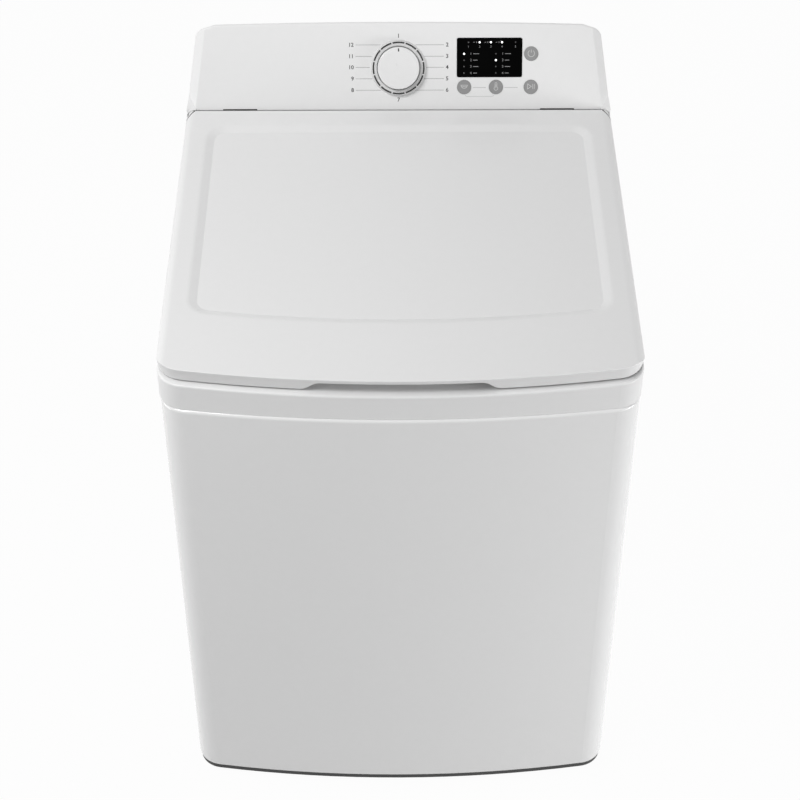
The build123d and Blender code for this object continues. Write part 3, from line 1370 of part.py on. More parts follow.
def gearcase():
    """Gear and brake housing under the tub, bored for the spin tube's bearing and the shafts."""
    floor = Z_GEARCASE + GEARCASE_FLOOR
    bore = SPIN_TUBE_R + SHAFT_END_GAP
    flange = GEARCASE_R + GEARCASE_FLANGE
    shell = turned(
        [
            (0, Z_GEARCASE),
            (GEARCASE_R - GEARCASE_CHAMFER, Z_GEARCASE),
            (GEARCASE_R, Z_GEARCASE + GEARCASE_CHAMFER),
            (GEARCASE_R, Z_PLATE - GEARCASE_CHAMFER),
            (flange, Z_PLATE - GEARCASE_FLANGE_HEIGHT),
            (flange, Z_PLATE),
            (BEARING_R, Z_PLATE),
            (BEARING_R, Z_PLATE - BEARING_HEIGHT),
            (bore, Z_PLATE - BEARING_HEIGHT),
            (bore, floor),
            (0, floor),
        ]
    )
    return shell - ring(WASH_SHAFT_R / 2 + RUNNING_FIT, 0, Z_GEARCASE, floor)


def main_bearings():
    return ring(BEARING_R, SPIN_TUBE_R + RUNNING_FIT, Z_PLATE - BEARING_HEIGHT, Z_PLATE)


def mount_plate():
    """Steel plate under the tub that carries the gearcase and the motor."""
    left = MOTOR_DISTANCE + MOTOR_R + PLATE_MARGIN
    right = GEARCASE_R + GEARCASE_FLANGE
    shape = Pos((right - left) / 2, TUB_Y) * rounded(left + right, PLATE_WIDTH, PLATE_CORNER_R)
    return raise_face(shape, Z_PLATE, Z_TUB) - ring(BEARING_R, 0, Z_PLATE, Z_TUB)


def drive_motor():
    """Motor hung from the plate: a finned can with end bells, and feet up to the plate."""
    low, high = Z_GEARCASE, Z_PLATE
    x = -MOTOR_DISTANCE
    can = ring(MOTOR_R, 0, low + MOTOR_BELL, high - MOTOR_HEADROOM, x)
    can += ring(MOTOR_R - MOTOR_BELL, 0, low, high - MOTOR_BELL_GAP, x)
    centre = Pos(x, TUB_Y, 0)
    foot = ring(MOTOR_FOOT_R, 0, high - MOTOR_FOOT_HEIGHT, high, MOTOR_R - MOTOR_FOOT_INSET, 0)
    for index in range(MOTOR_FEET):
        can += centre * Rot(0, 0, 90 + index * 360 / MOTOR_FEET) * foot
    fin = Pos(MOTOR_R, 0, (low + high) / 2) * Box(FIN_DEPTH, FIN_WIDTH, high - low - 2 * FIN_MARGIN)
    for index in range(FIN_COUNT):
        can += centre * Rot(0, 0, index * 360 / FIN_COUNT) * fin
    return can - ring(MOTOR_SHAFT_R + RUNNING_FIT, 0, low, high - MOTOR_SHAFT_DROP + SHAFT_END_GAP, x)


def grooved_pulley(radius, x):
    """Pulley with a groove for the belt."""
    low, high = Z_PULLEY, Z_PULLEY + PULLEY_HEIGHT
    middle = (low + high) / 2
    half = BELT_HEIGHT / 2 + BELT_FIT
    root = radius - BELT_WIDTH - BELT_FIT
    profile = make_face(
        Polyline(
            (0, low),
            (radius, low),
            (radius, middle - half),
            (root, middle - half),
            (root, middle + half),
            (radius, middle + half),
            (radius, high),
            (0, high),
            close=True,
        )
    )
    return Pos(x, TUB_Y, 0) * revolve(Plane.XZ * profile, Axis.Z)


def drive_pulley():
    """Large pulley on the gearcase's input shaft, lightened between its spokes."""
    pulley = grooved_pulley(PULLEY_R, 0)
    pulley += ring(WASH_SHAFT_R / 2, 0, Z_PULLEY, Z_GEARCASE + GEARCASE_FLOOR - SHAFT_END_GAP)
    hole = ring(PULLEY_HOLE_R, 0, Z_PULLEY, Z_PULLEY + PULLEY_HEIGHT, PULLEY_HOLE_AT, 0)
    for index in range(PULLEY_HOLES):
        pulley -= Pos(0, TUB_Y, 0) * Rot(0, 0, index * 360 / PULLEY_HOLES) * hole
    return pulley


def motor_pulley():
    """Small pulley on the motor's shaft."""
    shaft = ring(MOTOR_SHAFT_R, 0, Z_PULLEY, Z_PLATE - MOTOR_SHAFT_DROP, -MOTOR_DISTANCE)
    return grooved_pulley(MOTOR_PULLEY_R, -MOTOR_DISTANCE) + shaft


def drive_belt():
    """Belt round both pulleys, running in their grooves."""
    def loop(drawn):
        big = Circle(PULLEY_R - drawn)
        small = Pos(-MOTOR_DISTANCE, 0) * Circle(MOTOR_PULLEY_R - drawn)
        return make_hull(big.edges() + small.edges())

    middle = Z_PULLEY + PULLEY_HEIGHT / 2
    band = loop(0) - loop(BELT_WIDTH)
    return raise_face(Pos(0, TUB_Y) * band, middle - BELT_HEIGHT / 2, middle + BELT_HEIGHT / 2)


# Suspension

def corner_brackets():
    """Plates under the cabinet's top flange, each dished for a rod's ball."""
    high = Z_CABINET_TOP - SHEET
    limit = raise_face(cabinet_plan(SHEET + TOP_EDGE_R), high - 2 * EAR_R, high)
    brackets = []
    for (x, y), (sx, sy) in zip(ear_places(), CORNERS):
        across = HALF - abs(x) + EAR_R
        deep = ROD_INSET_Y + EAR_R + FRONT_CORNER_R
        plate = Pos(x - sx * EAR_R, y - sy * EAR_R, high) * Box(
            across,
            deep,
            BRACKET_THICKNESS,
            align=(Align.MIN if sx > 0 else Align.MAX, Align.MIN if sy > 0 else Align.MAX, Align.MAX),
        )
        plate = plate & limit
        plate -= Pos(0, Y_PANEL - SHEET, 0) * Box(2 * CABINET_WIDTH, 2 * (SHEET + PANEL_FIT), 4 * Z_DECK)
        plate -= Pos(x, y, high + BALL_R / 2) * Sphere(BALL_R + REST_GAP)
        brackets.append(plate)
    return group(brackets)


def suspension_rods():
    high = Z_CABINET_TOP - SHEET + BALL_R / 2
    rods = []
    for x, y in ear_places():
        rod = ring(ROD_R, 0, Z_SPRING, high, x, y) + Pos(x, y, high) * Sphere(BALL_R)
        rods.append(rod)
    return group(rods)


def spring_cups():
    """Caps on the rods' lower ends that the springs stand on."""
    radius = SPRING_R + CUP_LIP
    return group([ring(radius, 0, Z_SPRING - CUP_HEIGHT, Z_SPRING, x, y) for x, y in ear_places()])


def suspension_springs():
    inner = SPRING_R - SPRING_WIRE
    return group([ring(SPRING_R, inner, Z_SPRING, Z_EAR, x, y) for x, y in ear_places()])


# Water

def inlet_valve():
    """Double inlet valve: two collared ports through the rear, a body and two coils."""
    seat = Y_BACK - PLASTIC
    width = PORT_SPACING + 2 * PORT_R
    body = Pos(PORT_X, (seat + Y_VALVE) / 2, Z_VALVE) * Box(width, VALVE_DEPTH, 2 * PORT_R)
    reach = PORT_STANDOFF + PLASTIC
    for x in port_places():
        along = Pos(x, seat, Z_VALVE) * Rot(-90, 0, 0)
        collar = along * Pos(0, 0, PLASTIC) * Cylinder(PORT_R + PORT_COLLAR, COLLAR_THICKNESS, align=STANDING)
        body = body + along * Cylinder(PORT_R, reach, align=STANDING) + collar
        body -= along * Cylinder(PORT_BORE_R, reach, align=STANDING)
        coil = Cylinder(COIL_R, COIL_HEIGHT, align=STANDING)
        body += Pos(x, seat - VALVE_DEPTH / 2, Z_VALVE - PORT_R) * Rot(180, 0, 0) * coil
    return body


def fill_nozzle():
    """Duct from the valve to a flat spout in the throat's rear wall."""
    left, right = PORT_X - PORT_SPACING / 2, NOZZLE_WIDTH / 2
    middle = Pos((left + right) / 2, Y_VALVE - DUCT_DEPTH / 2, Z_VALVE)
    duct = middle * Box(right - left, DUCT_DEPTH, NOZZLE_HEIGHT)
    return nozzle_box() + duct - Pos(0, -NOZZLE_WALL, 0) * nozzle_box(-NOZZLE_WALL)


def pump_ring(outer, inner, low, high):
    """Round form about the line of the tub's drain port and the pump."""
    return ring(outer, inner, low, high, PUMP_X, TUB_Y + PUMP_Y)


def drain_pump():
    """Pump on the base pan: a volute with an inlet up to the tub and an outlet to the rear."""
    high = Z_PAN + PUMP_HEIGHT
    body = pump_ring(PUMP_R, 0, Z_PAN, high - PUMP_NECK) + pump_ring(DRAIN_PORT_R, 0, Z_PAN, high)
    outlet = Cylinder(HOSE_R - HOSE_WALL, PUMP_R + PUMP_OUTLET, align=STANDING)
    body += Pos(PUMP_X, TUB_Y + PUMP_Y, Z_HOSE) * Rot(-90, 0, 0) * outlet
    return body - pump_ring(DRAIN_PORT_R - TUB_WALL, 0, high - PUMP_INLET_DEPTH, high)


def sump_hose():
    """Short sleeve between the tub's drain port and the pump."""
    return pump_ring(DRAIN_PORT_R, DRAIN_PORT_R - HOSE_WALL, Z_PAN + PUMP_HEIGHT, Z_TUB - DRAIN_PORT_LENGTH)


def drain_hose():
    """Hose from the pump along the base and up the rear to the spigot."""
    start = (PUMP_X, TUB_Y + PUMP_Y + PUMP_R + PUMP_OUTLET, Z_HOSE)
    rise = Z_CABINET + SPIGOT_RISE
    back = Y_PANEL - SHEET - HOSE_FROM_PANEL
    path = FilletPolyline(
        start,
        (PUMP_X, back - HOSE_RUN_OUT, Z_HOSE),
        (SPIGOT_X, back, Z_HOSE + HOSE_CLIMB),
        (SPIGOT_X, back, rise),
        (SPIGOT_X, Y_PANEL - SHEET - SPIGOT_INNER, rise),
        radius=HOSE_BEND_R,
    )
    section = Plane(origin=start, z_dir=(0, 1, 0)) * (Circle(HOSE_R) - Circle(HOSE_R - HOSE_WALL))
    return sweep(section, path)


def drain_spigot():
    """Flanged outlet in the rear panel that a drain hose pushes onto."""
    inner = SHEET + SPIGOT_INNER
    outer = DEPTH / 2 - Y_PANEL
    spigot = Cylinder(SPIGOT_R, inner + outer, align=STANDING)
    flange = Pos(0, 0, inner) * Cylinder(SPIGOT_R + SPIGOT_FLANGE, COLLAR_THICKNESS, align=STANDING)
    bore = Cylinder(SPIGOT_R - SPIGOT_WALL, inner + outer, align=STANDING)
    return panel_local(SPIGOT_X, SPIGOT_RISE) * Pos(0, 0, -inner) * (spigot + flange - bore)


def cord_gland():
    """Bush in the rear panel for a supply cord."""
    inner = SHEET + GLAND_INNER
    bush = Cylinder(GLAND_R, inner + GLAND_OUTER, align=STANDING)
    bush += Pos(0, 0, inner) * Cylinder(GLAND_R + GLAND_FLANGE, COLLAR_THICKNESS, align=STANDING)
    bush -= Cylinder(GLAND_BORE_R, inner + GLAND_OUTER, align=STANDING)
    return panel_local(GLAND_X, GLAND_RISE) * Pos(0, 0, -inner) * bush


# Nodes

NODES = {
    "base_pan": base_pan,
    "foot_pads": foot_pads,
    "foot_studs": foot_studs,
    "foot_lock_nuts": foot_lock_nuts,
    "cabinet_shell": cabinet_shell,
    "rear_panel": rear_panel,
    "top_cover": top_cover,
    "console_housing": console_housing,
    "console_back": console_back,
    "display_window": display_window,
    "control_board": control_board,
    "dial_bezel": dial_bezel,
    "dial_marks": dial_marks,
    "cycle_knob": cycle_knob,
    "knob_pointer": knob_pointer,
    "knob_shaft": knob_shaft,
    "lid_outer": lid_outer,
    "lid_inner": lid_inner,
    "lid_bumpers": lid_bumpers,
    "lid_strike": lid_strike,
    "lid_lock": lid_lock,
    "lock_bolt": lock_bolt,
    "hinge_brackets": hinge_brackets,
    "hinge_pins": hinge_pins,
    "hinge_leaves": hinge_leaves,
    "outer_tub": outer_tub,
    "tub_ring": tub_ring,
    "tub_seal": tub_seal,
    "mount_plate": mount_plate,
    "gearcase": gearcase,
    "main_bearings": main_bearings,
    "drive_motor": drive_motor,
    "drive_belt": drive_belt,
    "drive_pulley": drive_pulley,
    "motor_pulley": motor_pulley,
    "basket_wall": basket_wall,
    "basket_floor": basket_floor,
    "balance_ring": balance_ring,
    "basket_hub": basket_hub,
    "spin_tube": spin_tube,
    "impeller": impeller,
    "impeller_cap": impeller_cap,
    "wash_shaft": wash_shaft,
    "corner_brackets": corner_brackets,
    "suspension_rods": suspension_rods,
    "spring_cups": spring_cups,
    "suspension_springs": suspension_springs,
    "inlet_valve": inlet_valve,
    "fill_nozzle": fill_nozzle,
    "drain_pump": drain_pump,
    "sump_hose": sump_hose,
    "drain_hose": drain_hose,
    "drain_spigot": drain_spigot,
    "cord_gland": cord_gland,
}
for key in BUTTONS:
    NODES[key] = lambda key=key: button(key)


def main():
    os.makedirs("parts", exist_ok=True)
    for name, make in NODES.items():
        export_step(make(), f"parts/{name}.step")


if __name__ == "__main__":
    main()
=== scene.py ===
import json
import math

import bmesh
import bpy
from mathutils import Matrix, Vector


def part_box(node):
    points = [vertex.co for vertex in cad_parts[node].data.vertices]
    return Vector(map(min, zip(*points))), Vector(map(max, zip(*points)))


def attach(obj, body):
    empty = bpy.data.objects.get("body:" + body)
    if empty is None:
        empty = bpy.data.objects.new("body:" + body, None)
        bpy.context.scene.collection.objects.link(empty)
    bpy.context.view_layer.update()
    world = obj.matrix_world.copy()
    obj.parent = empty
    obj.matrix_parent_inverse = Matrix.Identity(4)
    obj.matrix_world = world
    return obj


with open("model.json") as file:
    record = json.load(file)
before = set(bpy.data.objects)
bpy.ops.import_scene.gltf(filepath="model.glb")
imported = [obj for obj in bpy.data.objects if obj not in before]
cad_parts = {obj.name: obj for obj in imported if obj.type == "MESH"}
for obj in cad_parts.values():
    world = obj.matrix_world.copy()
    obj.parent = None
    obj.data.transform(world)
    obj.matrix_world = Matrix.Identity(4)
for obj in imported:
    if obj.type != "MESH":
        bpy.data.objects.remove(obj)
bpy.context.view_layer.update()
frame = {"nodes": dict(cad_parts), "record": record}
scene = bpy.context.scene
MM = 0.001


# Materials

COAT_ROUGHNESS = 0.08
DRIFT_DETAIL = 1.0
DRIFT_ENDS = (0.2, 0.8)
RELIEF_DETAIL = 2.0
RELIEF_DEPTH = 0.0002
GLOW_DIM = 0.9
WINDOW_SPECULAR = 0.01


def link(tree, out, into):
    """Wire between two sockets of a node tree."""
    tree.links.new(out, into)


def shader_of(material):
    """Main shader of a finish."""
    return material.node_tree.nodes["Principled BSDF"]


def surface(
    name, dark, pale, rough, grain,
    relief=0.0, relief_grain=400.0, metallic=0.0, coat=0.0, stretch=(1, 1, 1),
):
    """Procedural finish: colour and roughness drift in a slow noise, and a fine one gives relief."""
    material = bpy.data.materials.new(name)
    material.use_nodes = True
    tree = material.node_tree
    shader = shader_of(material)
    shader.inputs["Metallic"].default_value = metallic
    shader.inputs["Coat Weight"].default_value = coat
    shader.inputs["Coat Roughness"].default_value = COAT_ROUGHNESS
    place = tree.nodes.new("ShaderNodeTexCoord")
    mapping = tree.nodes.new("ShaderNodeMapping")
    mapping.inputs["Scale"].default_value = stretch
    link(tree, place.outputs["Object"], mapping.inputs["Vector"])
    drift = tree.nodes.new("ShaderNodeTexNoise")
    drift.inputs["Scale"].default_value = grain
    drift.inputs["Detail"].default_value = DRIFT_DETAIL
    link(tree, mapping.outputs["Vector"], drift.inputs["Vector"])
    ramp = tree.nodes.new("ShaderNodeValToRGB")
    ramp.color_ramp.interpolation = "EASE"
    for element, position, colour in zip(ramp.color_ramp.elements, DRIFT_ENDS, (dark, pale)):
        element.position = position
        element.color = (*colour, 1)
    link(tree, drift.outputs["Fac"], ramp.inputs["Fac"])
    link(tree, ramp.outputs["Color"], shader.inputs["Base Color"])
    spread = tree.nodes.new("ShaderNodeMapRange")
    spread.inputs["To Min"].default_value = rough[0]
    spread.inputs["To Max"].default_value = rough[1]
    link(tree, drift.outputs["Fac"], spread.inputs["Value"])
    link(tree, spread.outputs["Result"], shader.inputs["Roughness"])
    if relief:
        fine = tree.nodes.new("ShaderNodeTexNoise")
        fine.inputs["Scale"].default_value = relief_grain
        fine.inputs["Detail"].default_value = RELIEF_DETAIL
        link(tree, mapping.outputs["Vector"], fine.inputs["Vector"])
        bump = tree.nodes.new("ShaderNodeBump")
        bump.inputs["Strength"].default_value = relief
        bump.inputs["Distance"].default_value = RELIEF_DEPTH
        link(tree, fine.outputs["Fac"], bump.inputs["Height"])
        link(tree, bump.outputs["Normal"], shader.inputs["Normal"])
    return material


def grey(low, high):
    """Two neutral colours for a finish's drift."""
    return (low, low, low), (high, high, high)


def glow(name, colour, strength):
    """Lit lens: even light over a colour that drifts in a fine noise."""
    dim = tuple(GLOW_DIM * part for part in colour)
    material = surface(name, dim, colour, rough=(0.2, 0.3), grain=900.0)
    shader = shader_of(material)
    shader.inputs["Emission Color"].default_value = (*colour, 1)
    shader.inputs["Emission Strength"].default_value = strength
    return material


enamel = surface(
    "white_enamel", *grey(0.805, 0.811), rough=(0.24, 0.28), grain=90.0, relief=0.05,
    relief_grain=420.0, coat=0.8,
)
moulded = surface(
    "white_moulded", *grey(0.805, 0.811), rough=(0.3, 0.34), grain=90.0, relief=0.04,
    relief_grain=700.0,
)
moulded_inner = surface(
    "white_moulded_inner", *grey(0.745, 0.752), rough=(0.38, 0.44), grain=90.0, relief=0.06,
    relief_grain=600.0,
)
bezel_white = surface(
    "bezel_white", *grey(0.66, 0.67), rough=(0.28, 0.34), grain=90.0, relief=0.03,
    relief_grain=800.0,
)
knob_white = surface(
    "knob_white", *grey(0.8, 0.808), rough=(0.26, 0.32), grain=90.0, relief=0.03,
    relief_grain=900.0,
)
button_grey = surface(
    "button_grey", *grey(0.27, 0.285), rough=(0.34, 0.42), grain=30.0, relief=0.04,
    relief_grain=1500.0,
)
icon_grey = surface("icon_grey", *grey(0.57, 0.6), rough=(0.4, 0.5), grain=60.0)
ink_dark = surface("ink_dark", *grey(0.03, 0.04), rough=(0.4, 0.5), grain=80.0)
ink_mid = surface("ink_mid", *grey(0.3, 0.33), rough=(0.4, 0.5), grain=80.0)
ink_soft = surface("ink_soft", *grey(0.46, 0.5), rough=(0.4, 0.5), grain=80.0)
mark_dark = surface(
    "mark_dark", *grey(0.008, 0.014), rough=(0.45, 0.55), grain=60.0, relief=0.05,
    relief_grain=1200.0,
)
glass_black = surface("glass_black", *grey(0.0012, 0.002), rough=(0.1, 0.16), grain=12.0)
shader_of(glass_black).inputs["Specular IOR Level"].default_value = WINDOW_SPECULAR
lens_off = surface("lens_off", *grey(0.03, 0.06), rough=(0.2, 0.3), grain=500.0)
lens_on = glow("lens_on", (1.0, 1.0, 1.0), 1.0)
display_ink = surface("display_ink", *grey(0.22, 0.27), rough=(0.4, 0.5), grain=200.0)
base_black = surface(
    "base_black", *grey(0.028, 0.04), rough=(0.5, 0.62), grain=14.0, relief=0.2, relief_grain=900.0,
)
rubber_black = surface(
    "rubber_black", *grey(0.018, 0.028), rough=(0.6, 0.75), grain=30.0, relief=0.3,
    relief_grain=1200.0,
)
rubber_grey = surface(
    "rubber_grey", *grey(0.22, 0.26), rough=(0.55, 0.7), grain=30.0, relief=0.25,
    relief_grain=1200.0,
)
zinc = surface(
    "zinc", (0.55, 0.56, 0.57), (0.68, 0.69, 0.7), rough=(0.26, 0.42), grain=28.0, relief=0.15,
    relief_grain=300.0, metallic=1.0,
)
galvanised = surface(
    "galvanised", (0.6, 0.61, 0.62), (0.68, 0.69, 0.7), rough=(0.34, 0.44), grain=130.0,
    relief=0.06, relief_grain=300.0, metallic=1.0,
)
stainless = surface(
    "stainless", (0.66, 0.66, 0.66), (0.76, 0.76, 0.77), rough=(0.2, 0.3), grain=60.0, relief=0.06,
    relief_grain=500.0, metallic=1.0, stretch=(0.2, 0.2, 6.0),
)
ground_steel = surface(
    "ground_steel", (0.55, 0.55, 0.56), (0.66, 0.66, 0.67), rough=(0.16, 0.26), grain=90.0,
    relief=0.05, relief_grain=900.0, metallic=1.0, stretch=(1, 1, 8),
)
cast_alloy = surface(
    "cast_alloy", (0.55, 0.55, 0.56), (0.68, 0.68, 0.69), rough=(0.42, 0.58), grain=40.0,
    relief=0.4, relief_grain=500.0, metallic=1.0,
)
cast_dark = surface(
    "cast_dark", *grey(0.07, 0.11), rough=(0.45, 0.6), grain=30.0, relief=0.4, relief_grain=500.0,
)
tub_grey = surface(
    "tub_grey", *grey(0.48, 0.52), rough=(0.45, 0.55), grain=9.0, relief=0.12, relief_grain=500.0,
)
balance_grey = surface(
    "balance_grey", (0.6, 0.62, 0.64), (0.64, 0.66, 0.68), rough=(0.34, 0.42), grain=9.0,
    relief=0.06, relief_grain=600.0,
)
impeller_grey = surface(
    "impeller_grey", (0.52, 0.55, 0.59), (0.57, 0.6, 0.64), rough=(0.26, 0.34), grain=12.0,
    relief=0.05, relief_grain=700.0,
)
cap_grey = surface(
    "cap_grey", (0.26, 0.29, 0.33), (0.3, 0.33, 0.37), rough=(0.24, 0.32), grain=20.0, relief=0.04,
    relief_grain=800.0,
)
# Dark plastic of the hinges; the same finish colours the painted shade strips in the lid's rear gap and
# corner grooves
hinge_and_shade_dark = surface(
    "hinge_and_shade_dark", *grey(0.03, 0.045), rough=(0.45, 0.55), grain=30.0, relief=0.15,
    relief_grain=900.0,
)
lock_dark = surface(
    "lock_dark", *grey(0.05, 0.07), rough=(0.45, 0.55), grain=30.0, relief=0.15, relief_grain=900.0,
)
board_green = surface(
    "board_green", (0.02, 0.14, 0.05), (0.03, 0.19, 0.07), rough=(0.3, 0.45), grain=60.0,
    relief=0.1, relief_grain=700.0,
)

FINISH = {
    "base_pan": base_black, "foot_pads": rubber_black, "foot_studs": zinc, "foot_lock_nuts": zinc,
    "cabinet_shell": enamel, "rear_panel": galvanised, "top_cover": moulded,
    "console_housing": moulded, "console_back": moulded_inner, "display_window": glass_black,
    "control_board": board_green, "dial_bezel": bezel_white, "dial_marks": mark_dark,
    "cycle_knob": knob_white, "knob_pointer": mark_dark, "knob_shaft": lock_dark,
    "lid_outer": moulded, "lid_inner": moulded_inner, "lid_bumpers": rubber_grey,
    "lid_strike": moulded_inner, "lid_lock": lock_dark, "lock_bolt": zinc,
    "hinge_brackets": hinge_and_shade_dark, "hinge_pins": ground_steel, "hinge_leaves": hinge_and_shade_dark,
    "outer_tub": tub_grey, "tub_ring": moulded_inner, "tub_seal": rubber_black,
    "mount_plate": galvanised, "gearcase": cast_dark, "main_bearings": ground_steel,
    "drive_motor": cast_dark, "drive_belt": rubber_black, "drive_pulley": cast_alloy,
    "motor_pulley": cast_alloy, "basket_wall": stainless, "basket_floor": stainless,
    "balance_ring": balance_grey, "basket_hub": cast_alloy, "spin_tube": ground_steel,
    "impeller": impeller_grey, "impeller_cap": cap_grey, "wash_shaft": ground_steel,
    "corner_brackets": galvanised, "suspension_rods": zinc, "spring_cups": lock_dark,
    "suspension_springs": zinc, "inlet_valve": moulded_inner, "fill_nozzle": moulded_inner,
    "drain_pump": lock_dark, "sump_hose": rubber_black, "drain_hose": rubber_grey,
    "drain_spigot": lock_dark, "cord_gland": rubber_black, "power_button": button_grey,
    "level_button": button_grey, "temperature_button": button_grey, "start_button": button_grey,
}
for node, obj in frame["nodes"].items():
    obj.data.materials.clear()
    obj.data.materials.append(FINISH[node])


# The console's face: places are in millimetres to the right of and above the dial's middle

def joint_named(name):
    """Joint of the frame's record."""
    return next(joint for joint in frame["record"]["behaviour"]["joints"] if joint["name"] == name)


dial = joint_named("knob_turn")
DIAL = Vector(dial["pos_m"])
OUT = Vector(dial["axis"]).normalized()
RIGHT = Vector((1, 0, 0))
UP = OUT.cross(RIGHT).normalized()
FACE = Matrix.Translation(DIAL) @ Matrix((RIGHT, UP, OUT)).transposed().to_4x4()
PRINT_BASE, PRINT_LIFT = 0.02, 0.06
WINDOW_BASE, WINDOW_LIFT = 0.3, 0.36
BUTTON_BASE, BUTTON_LIFT = 0.5, 0.56
LEAST_MITRE = 0.4
FONT_SHARE = 0.69  # a figure's height as a share of the font's size
FIGURE_DEPTH = 0.02
FIGURE_FINENESS = 3


def evenly(first, last, count):
    """Values in equal steps, both ends among them."""
    return [first + (last - first) * index / count for index in range(count + 1)]


def on_face(x, up, lift):
    """Point over the face, in metres."""
    return FACE @ Vector((x * MM, up * MM, lift * MM))


def piece(name, mesh_data, material, body, smooth=False):
    """Wraps a bmesh as a piece of the object that moves with a body."""
    mesh = bpy.data.meshes.new(name)
    bmesh.ops.recalc_face_normals(mesh_data, faces=mesh_data.faces)
    for face in mesh_data.faces:
        face.smooth = smooth
    mesh_data.to_mesh(mesh)
    mesh_data.free()
    obj = bpy.data.objects.new(name, mesh)
    scene.collection.objects.link(obj)
    mesh.materials.append(material)
    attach(obj, body)


def add_prism(mesh, outline, low, high, place=FACE):
    """Flat form with straight walls, from an outline in millimetres."""
    base = [mesh.verts.new(place @ Vector((x * MM, y * MM, low * MM))) for x, y in outline]
    top = [mesh.verts.new(place @ Vector((x * MM, y * MM, high * MM))) for x, y in outline]
    mesh.faces.new(top)
    mesh.faces.new(base[::-1])
    for index in range(len(outline)):
        after = (index + 1) % len(outline)
        mesh.faces.new((base[index], base[after], top[after], top[index]))


def add_bar(mesh, x0, x1, up, height, low, high):
    """Level bar on the face, about the line at up."""
    half = height / 2
    add_prism(mesh, [(x0, up - half), (x1, up - half), (x1, up + half), (x0, up + half)], low, high)


def add_stroke(mesh, points, width, low, high):
    """Line of even width through points, with mitred corners, open or closed."""
    closed = points[0] == points[-1]
    path = [Vector(point) for point in (points[:-1] if closed else points)]
    left, right = [], []
    for index, point in enumerate(path):
        before = path[index - 1] if index or closed else None
        after = path[(index + 1) % len(path)] if index + 1 < len(path) or closed else None
        first = (point - before).normalized() if before else (after - point).normalized()
        last = (after - point).normalized() if after else first
        along = (first + last).normalized()
        side = Vector((-along.y, along.x)) * (width / 2) / max(along.dot(first), LEAST_MITRE)
        left.append(point + side)
        right.append(point - side)
    spans = range(len(path)) if closed else range(len(path) - 1)
    for index in spans:
        after = (index + 1) % len(path)
        add_prism(mesh, [right[index], right[after], left[after], left[index]], low, high)


def add_dome(mesh, x, up, radius, low, rise, sides=16, rings=4):
    """Round lens with a domed front."""
    loops = []
    for step in range(rings):
        angle = math.pi / 2 * step / rings
        reach, lift = radius * math.cos(angle), low + rise * math.sin(angle)
        loops.append([
            mesh.verts.new(on_face(x + reach * math.cos(turn), up + reach * math.sin(turn), lift))
            for turn in (2 * math.pi * index / sides for index in range(sides))
        ])
    tip = mesh.verts.new(on_face(x, up, low + rise))
    for lower, upper in zip(loops, loops[1:]):
        for index in range(sides):
            after = (index + 1) % sides
            mesh.faces.new((lower[index], lower[after], upper[after], upper[index]))
    for index in range(sides):
        mesh.faces.new((loops[-1][index], loops[-1][(index + 1) % sides], tip))
    mesh.faces.new(loops[0][::-1])


def add_number(mesh, text, x, up, height, lift, align="CENTER", weight=0.0):
    """Figures as a thin mesh on the face."""
    curve = bpy.data.curves.new("figures", "FONT")
    curve.body = text
    curve.size = height / FONT_SHARE * MM
    curve.align_x = align
    curve.align_y = "CENTER"
    curve.extrude = FIGURE_DEPTH * MM
    curve.offset = weight * MM
    curve.resolution_u = FIGURE_FINENESS
    holder = bpy.data.objects.new("figures", curve)
    scene.collection.objects.link(holder)
    bpy.context.view_layer.update()
    shown = holder.evaluated_get(bpy.context.evaluated_depsgraph_get())
    flat = bpy.data.meshes.new_from_object(shown)
    flat.transform(Matrix.Translation(FACE.inverted() @ on_face(x, up, lift)))
    flat.transform(FACE)
    mesh.from_mesh(flat)
    bpy.data.objects.remove(holder)
    bpy.data.curves.remove(curve)
    bpy.data.meshes.remove(flat)


def arc(x, up, radius, start, stop, count):
    """Points along an arc, in degrees from the right, turning to the left."""
    turns = [math.radians(angle) for angle in evenly(start, stop, count)]
    return [(x + radius * math.cos(turn), up + radius * math.sin(turn)) for turn in turns]


def face_place(node):
    """Where the middle of a node is on the face, to the right of and above the dial's middle."""
    low, high = (Vector(corner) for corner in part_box(node))
    offset = (low + high) / 2 - DIAL
    return offset.dot(RIGHT) / MM, offset.dot(UP) / MM


# Figures and leader lines round the dial

FIGURE_HEIGHT, FIGURE_WEIGHT = 6.0, 0.16
TOP_FIGURE_UP, LOW_FIGURE_UP = 50.4, -50.6
FIGURE_ROWS = (36.4, 18.3, 0.9, -17.1, -35.3)
LEFT_FIGURES, RIGHT_FIGURES = -72.0, 76.0
LEFT_ENDS = (-29.0, -42.7, -46.2, -41.9, -28.5)
RIGHT_ENDS = (27.2, 40.9, 44.1, 40.9, 26.4)
LEADER_GAP, LEADER_WIDTH = 3.0, 0.7
LEADER = (LEADER_WIDTH, PRINT_BASE, PRINT_LIFT)

numbers = bmesh.new()
leaders = bmesh.new()


def add_figure(text, x, up, align="CENTER"):
    """Figure of a dial position."""
    add_number(numbers, text, x, up, FIGURE_HEIGHT, PRINT_LIFT, align, FIGURE_WEIGHT)


add_figure("1", 0, TOP_FIGURE_UP)
add_figure("7", 0, LOW_FIGURE_UP)
for row, (up, left_end, right_end) in enumerate(zip(FIGURE_ROWS, LEFT_ENDS, RIGHT_ENDS)):
    add_figure(str(12 - row), LEFT_FIGURES, up, "RIGHT")
    add_figure(str(2 + row), RIGHT_FIGURES, up, "LEFT")
    add_bar(leaders, LEFT_FIGURES + LEADER_GAP, left_end, up, *LEADER)
    add_bar(leaders, right_end, RIGHT_FIGURES - LEADER_GAP, up, *LEADER)
piece("dial_figures", numbers, ink_dark, "cabinet")
piece("dial_leaders", leaders, ink_mid, "cabinet")


# Lamps, arrows and figures of the display, from the window's middle

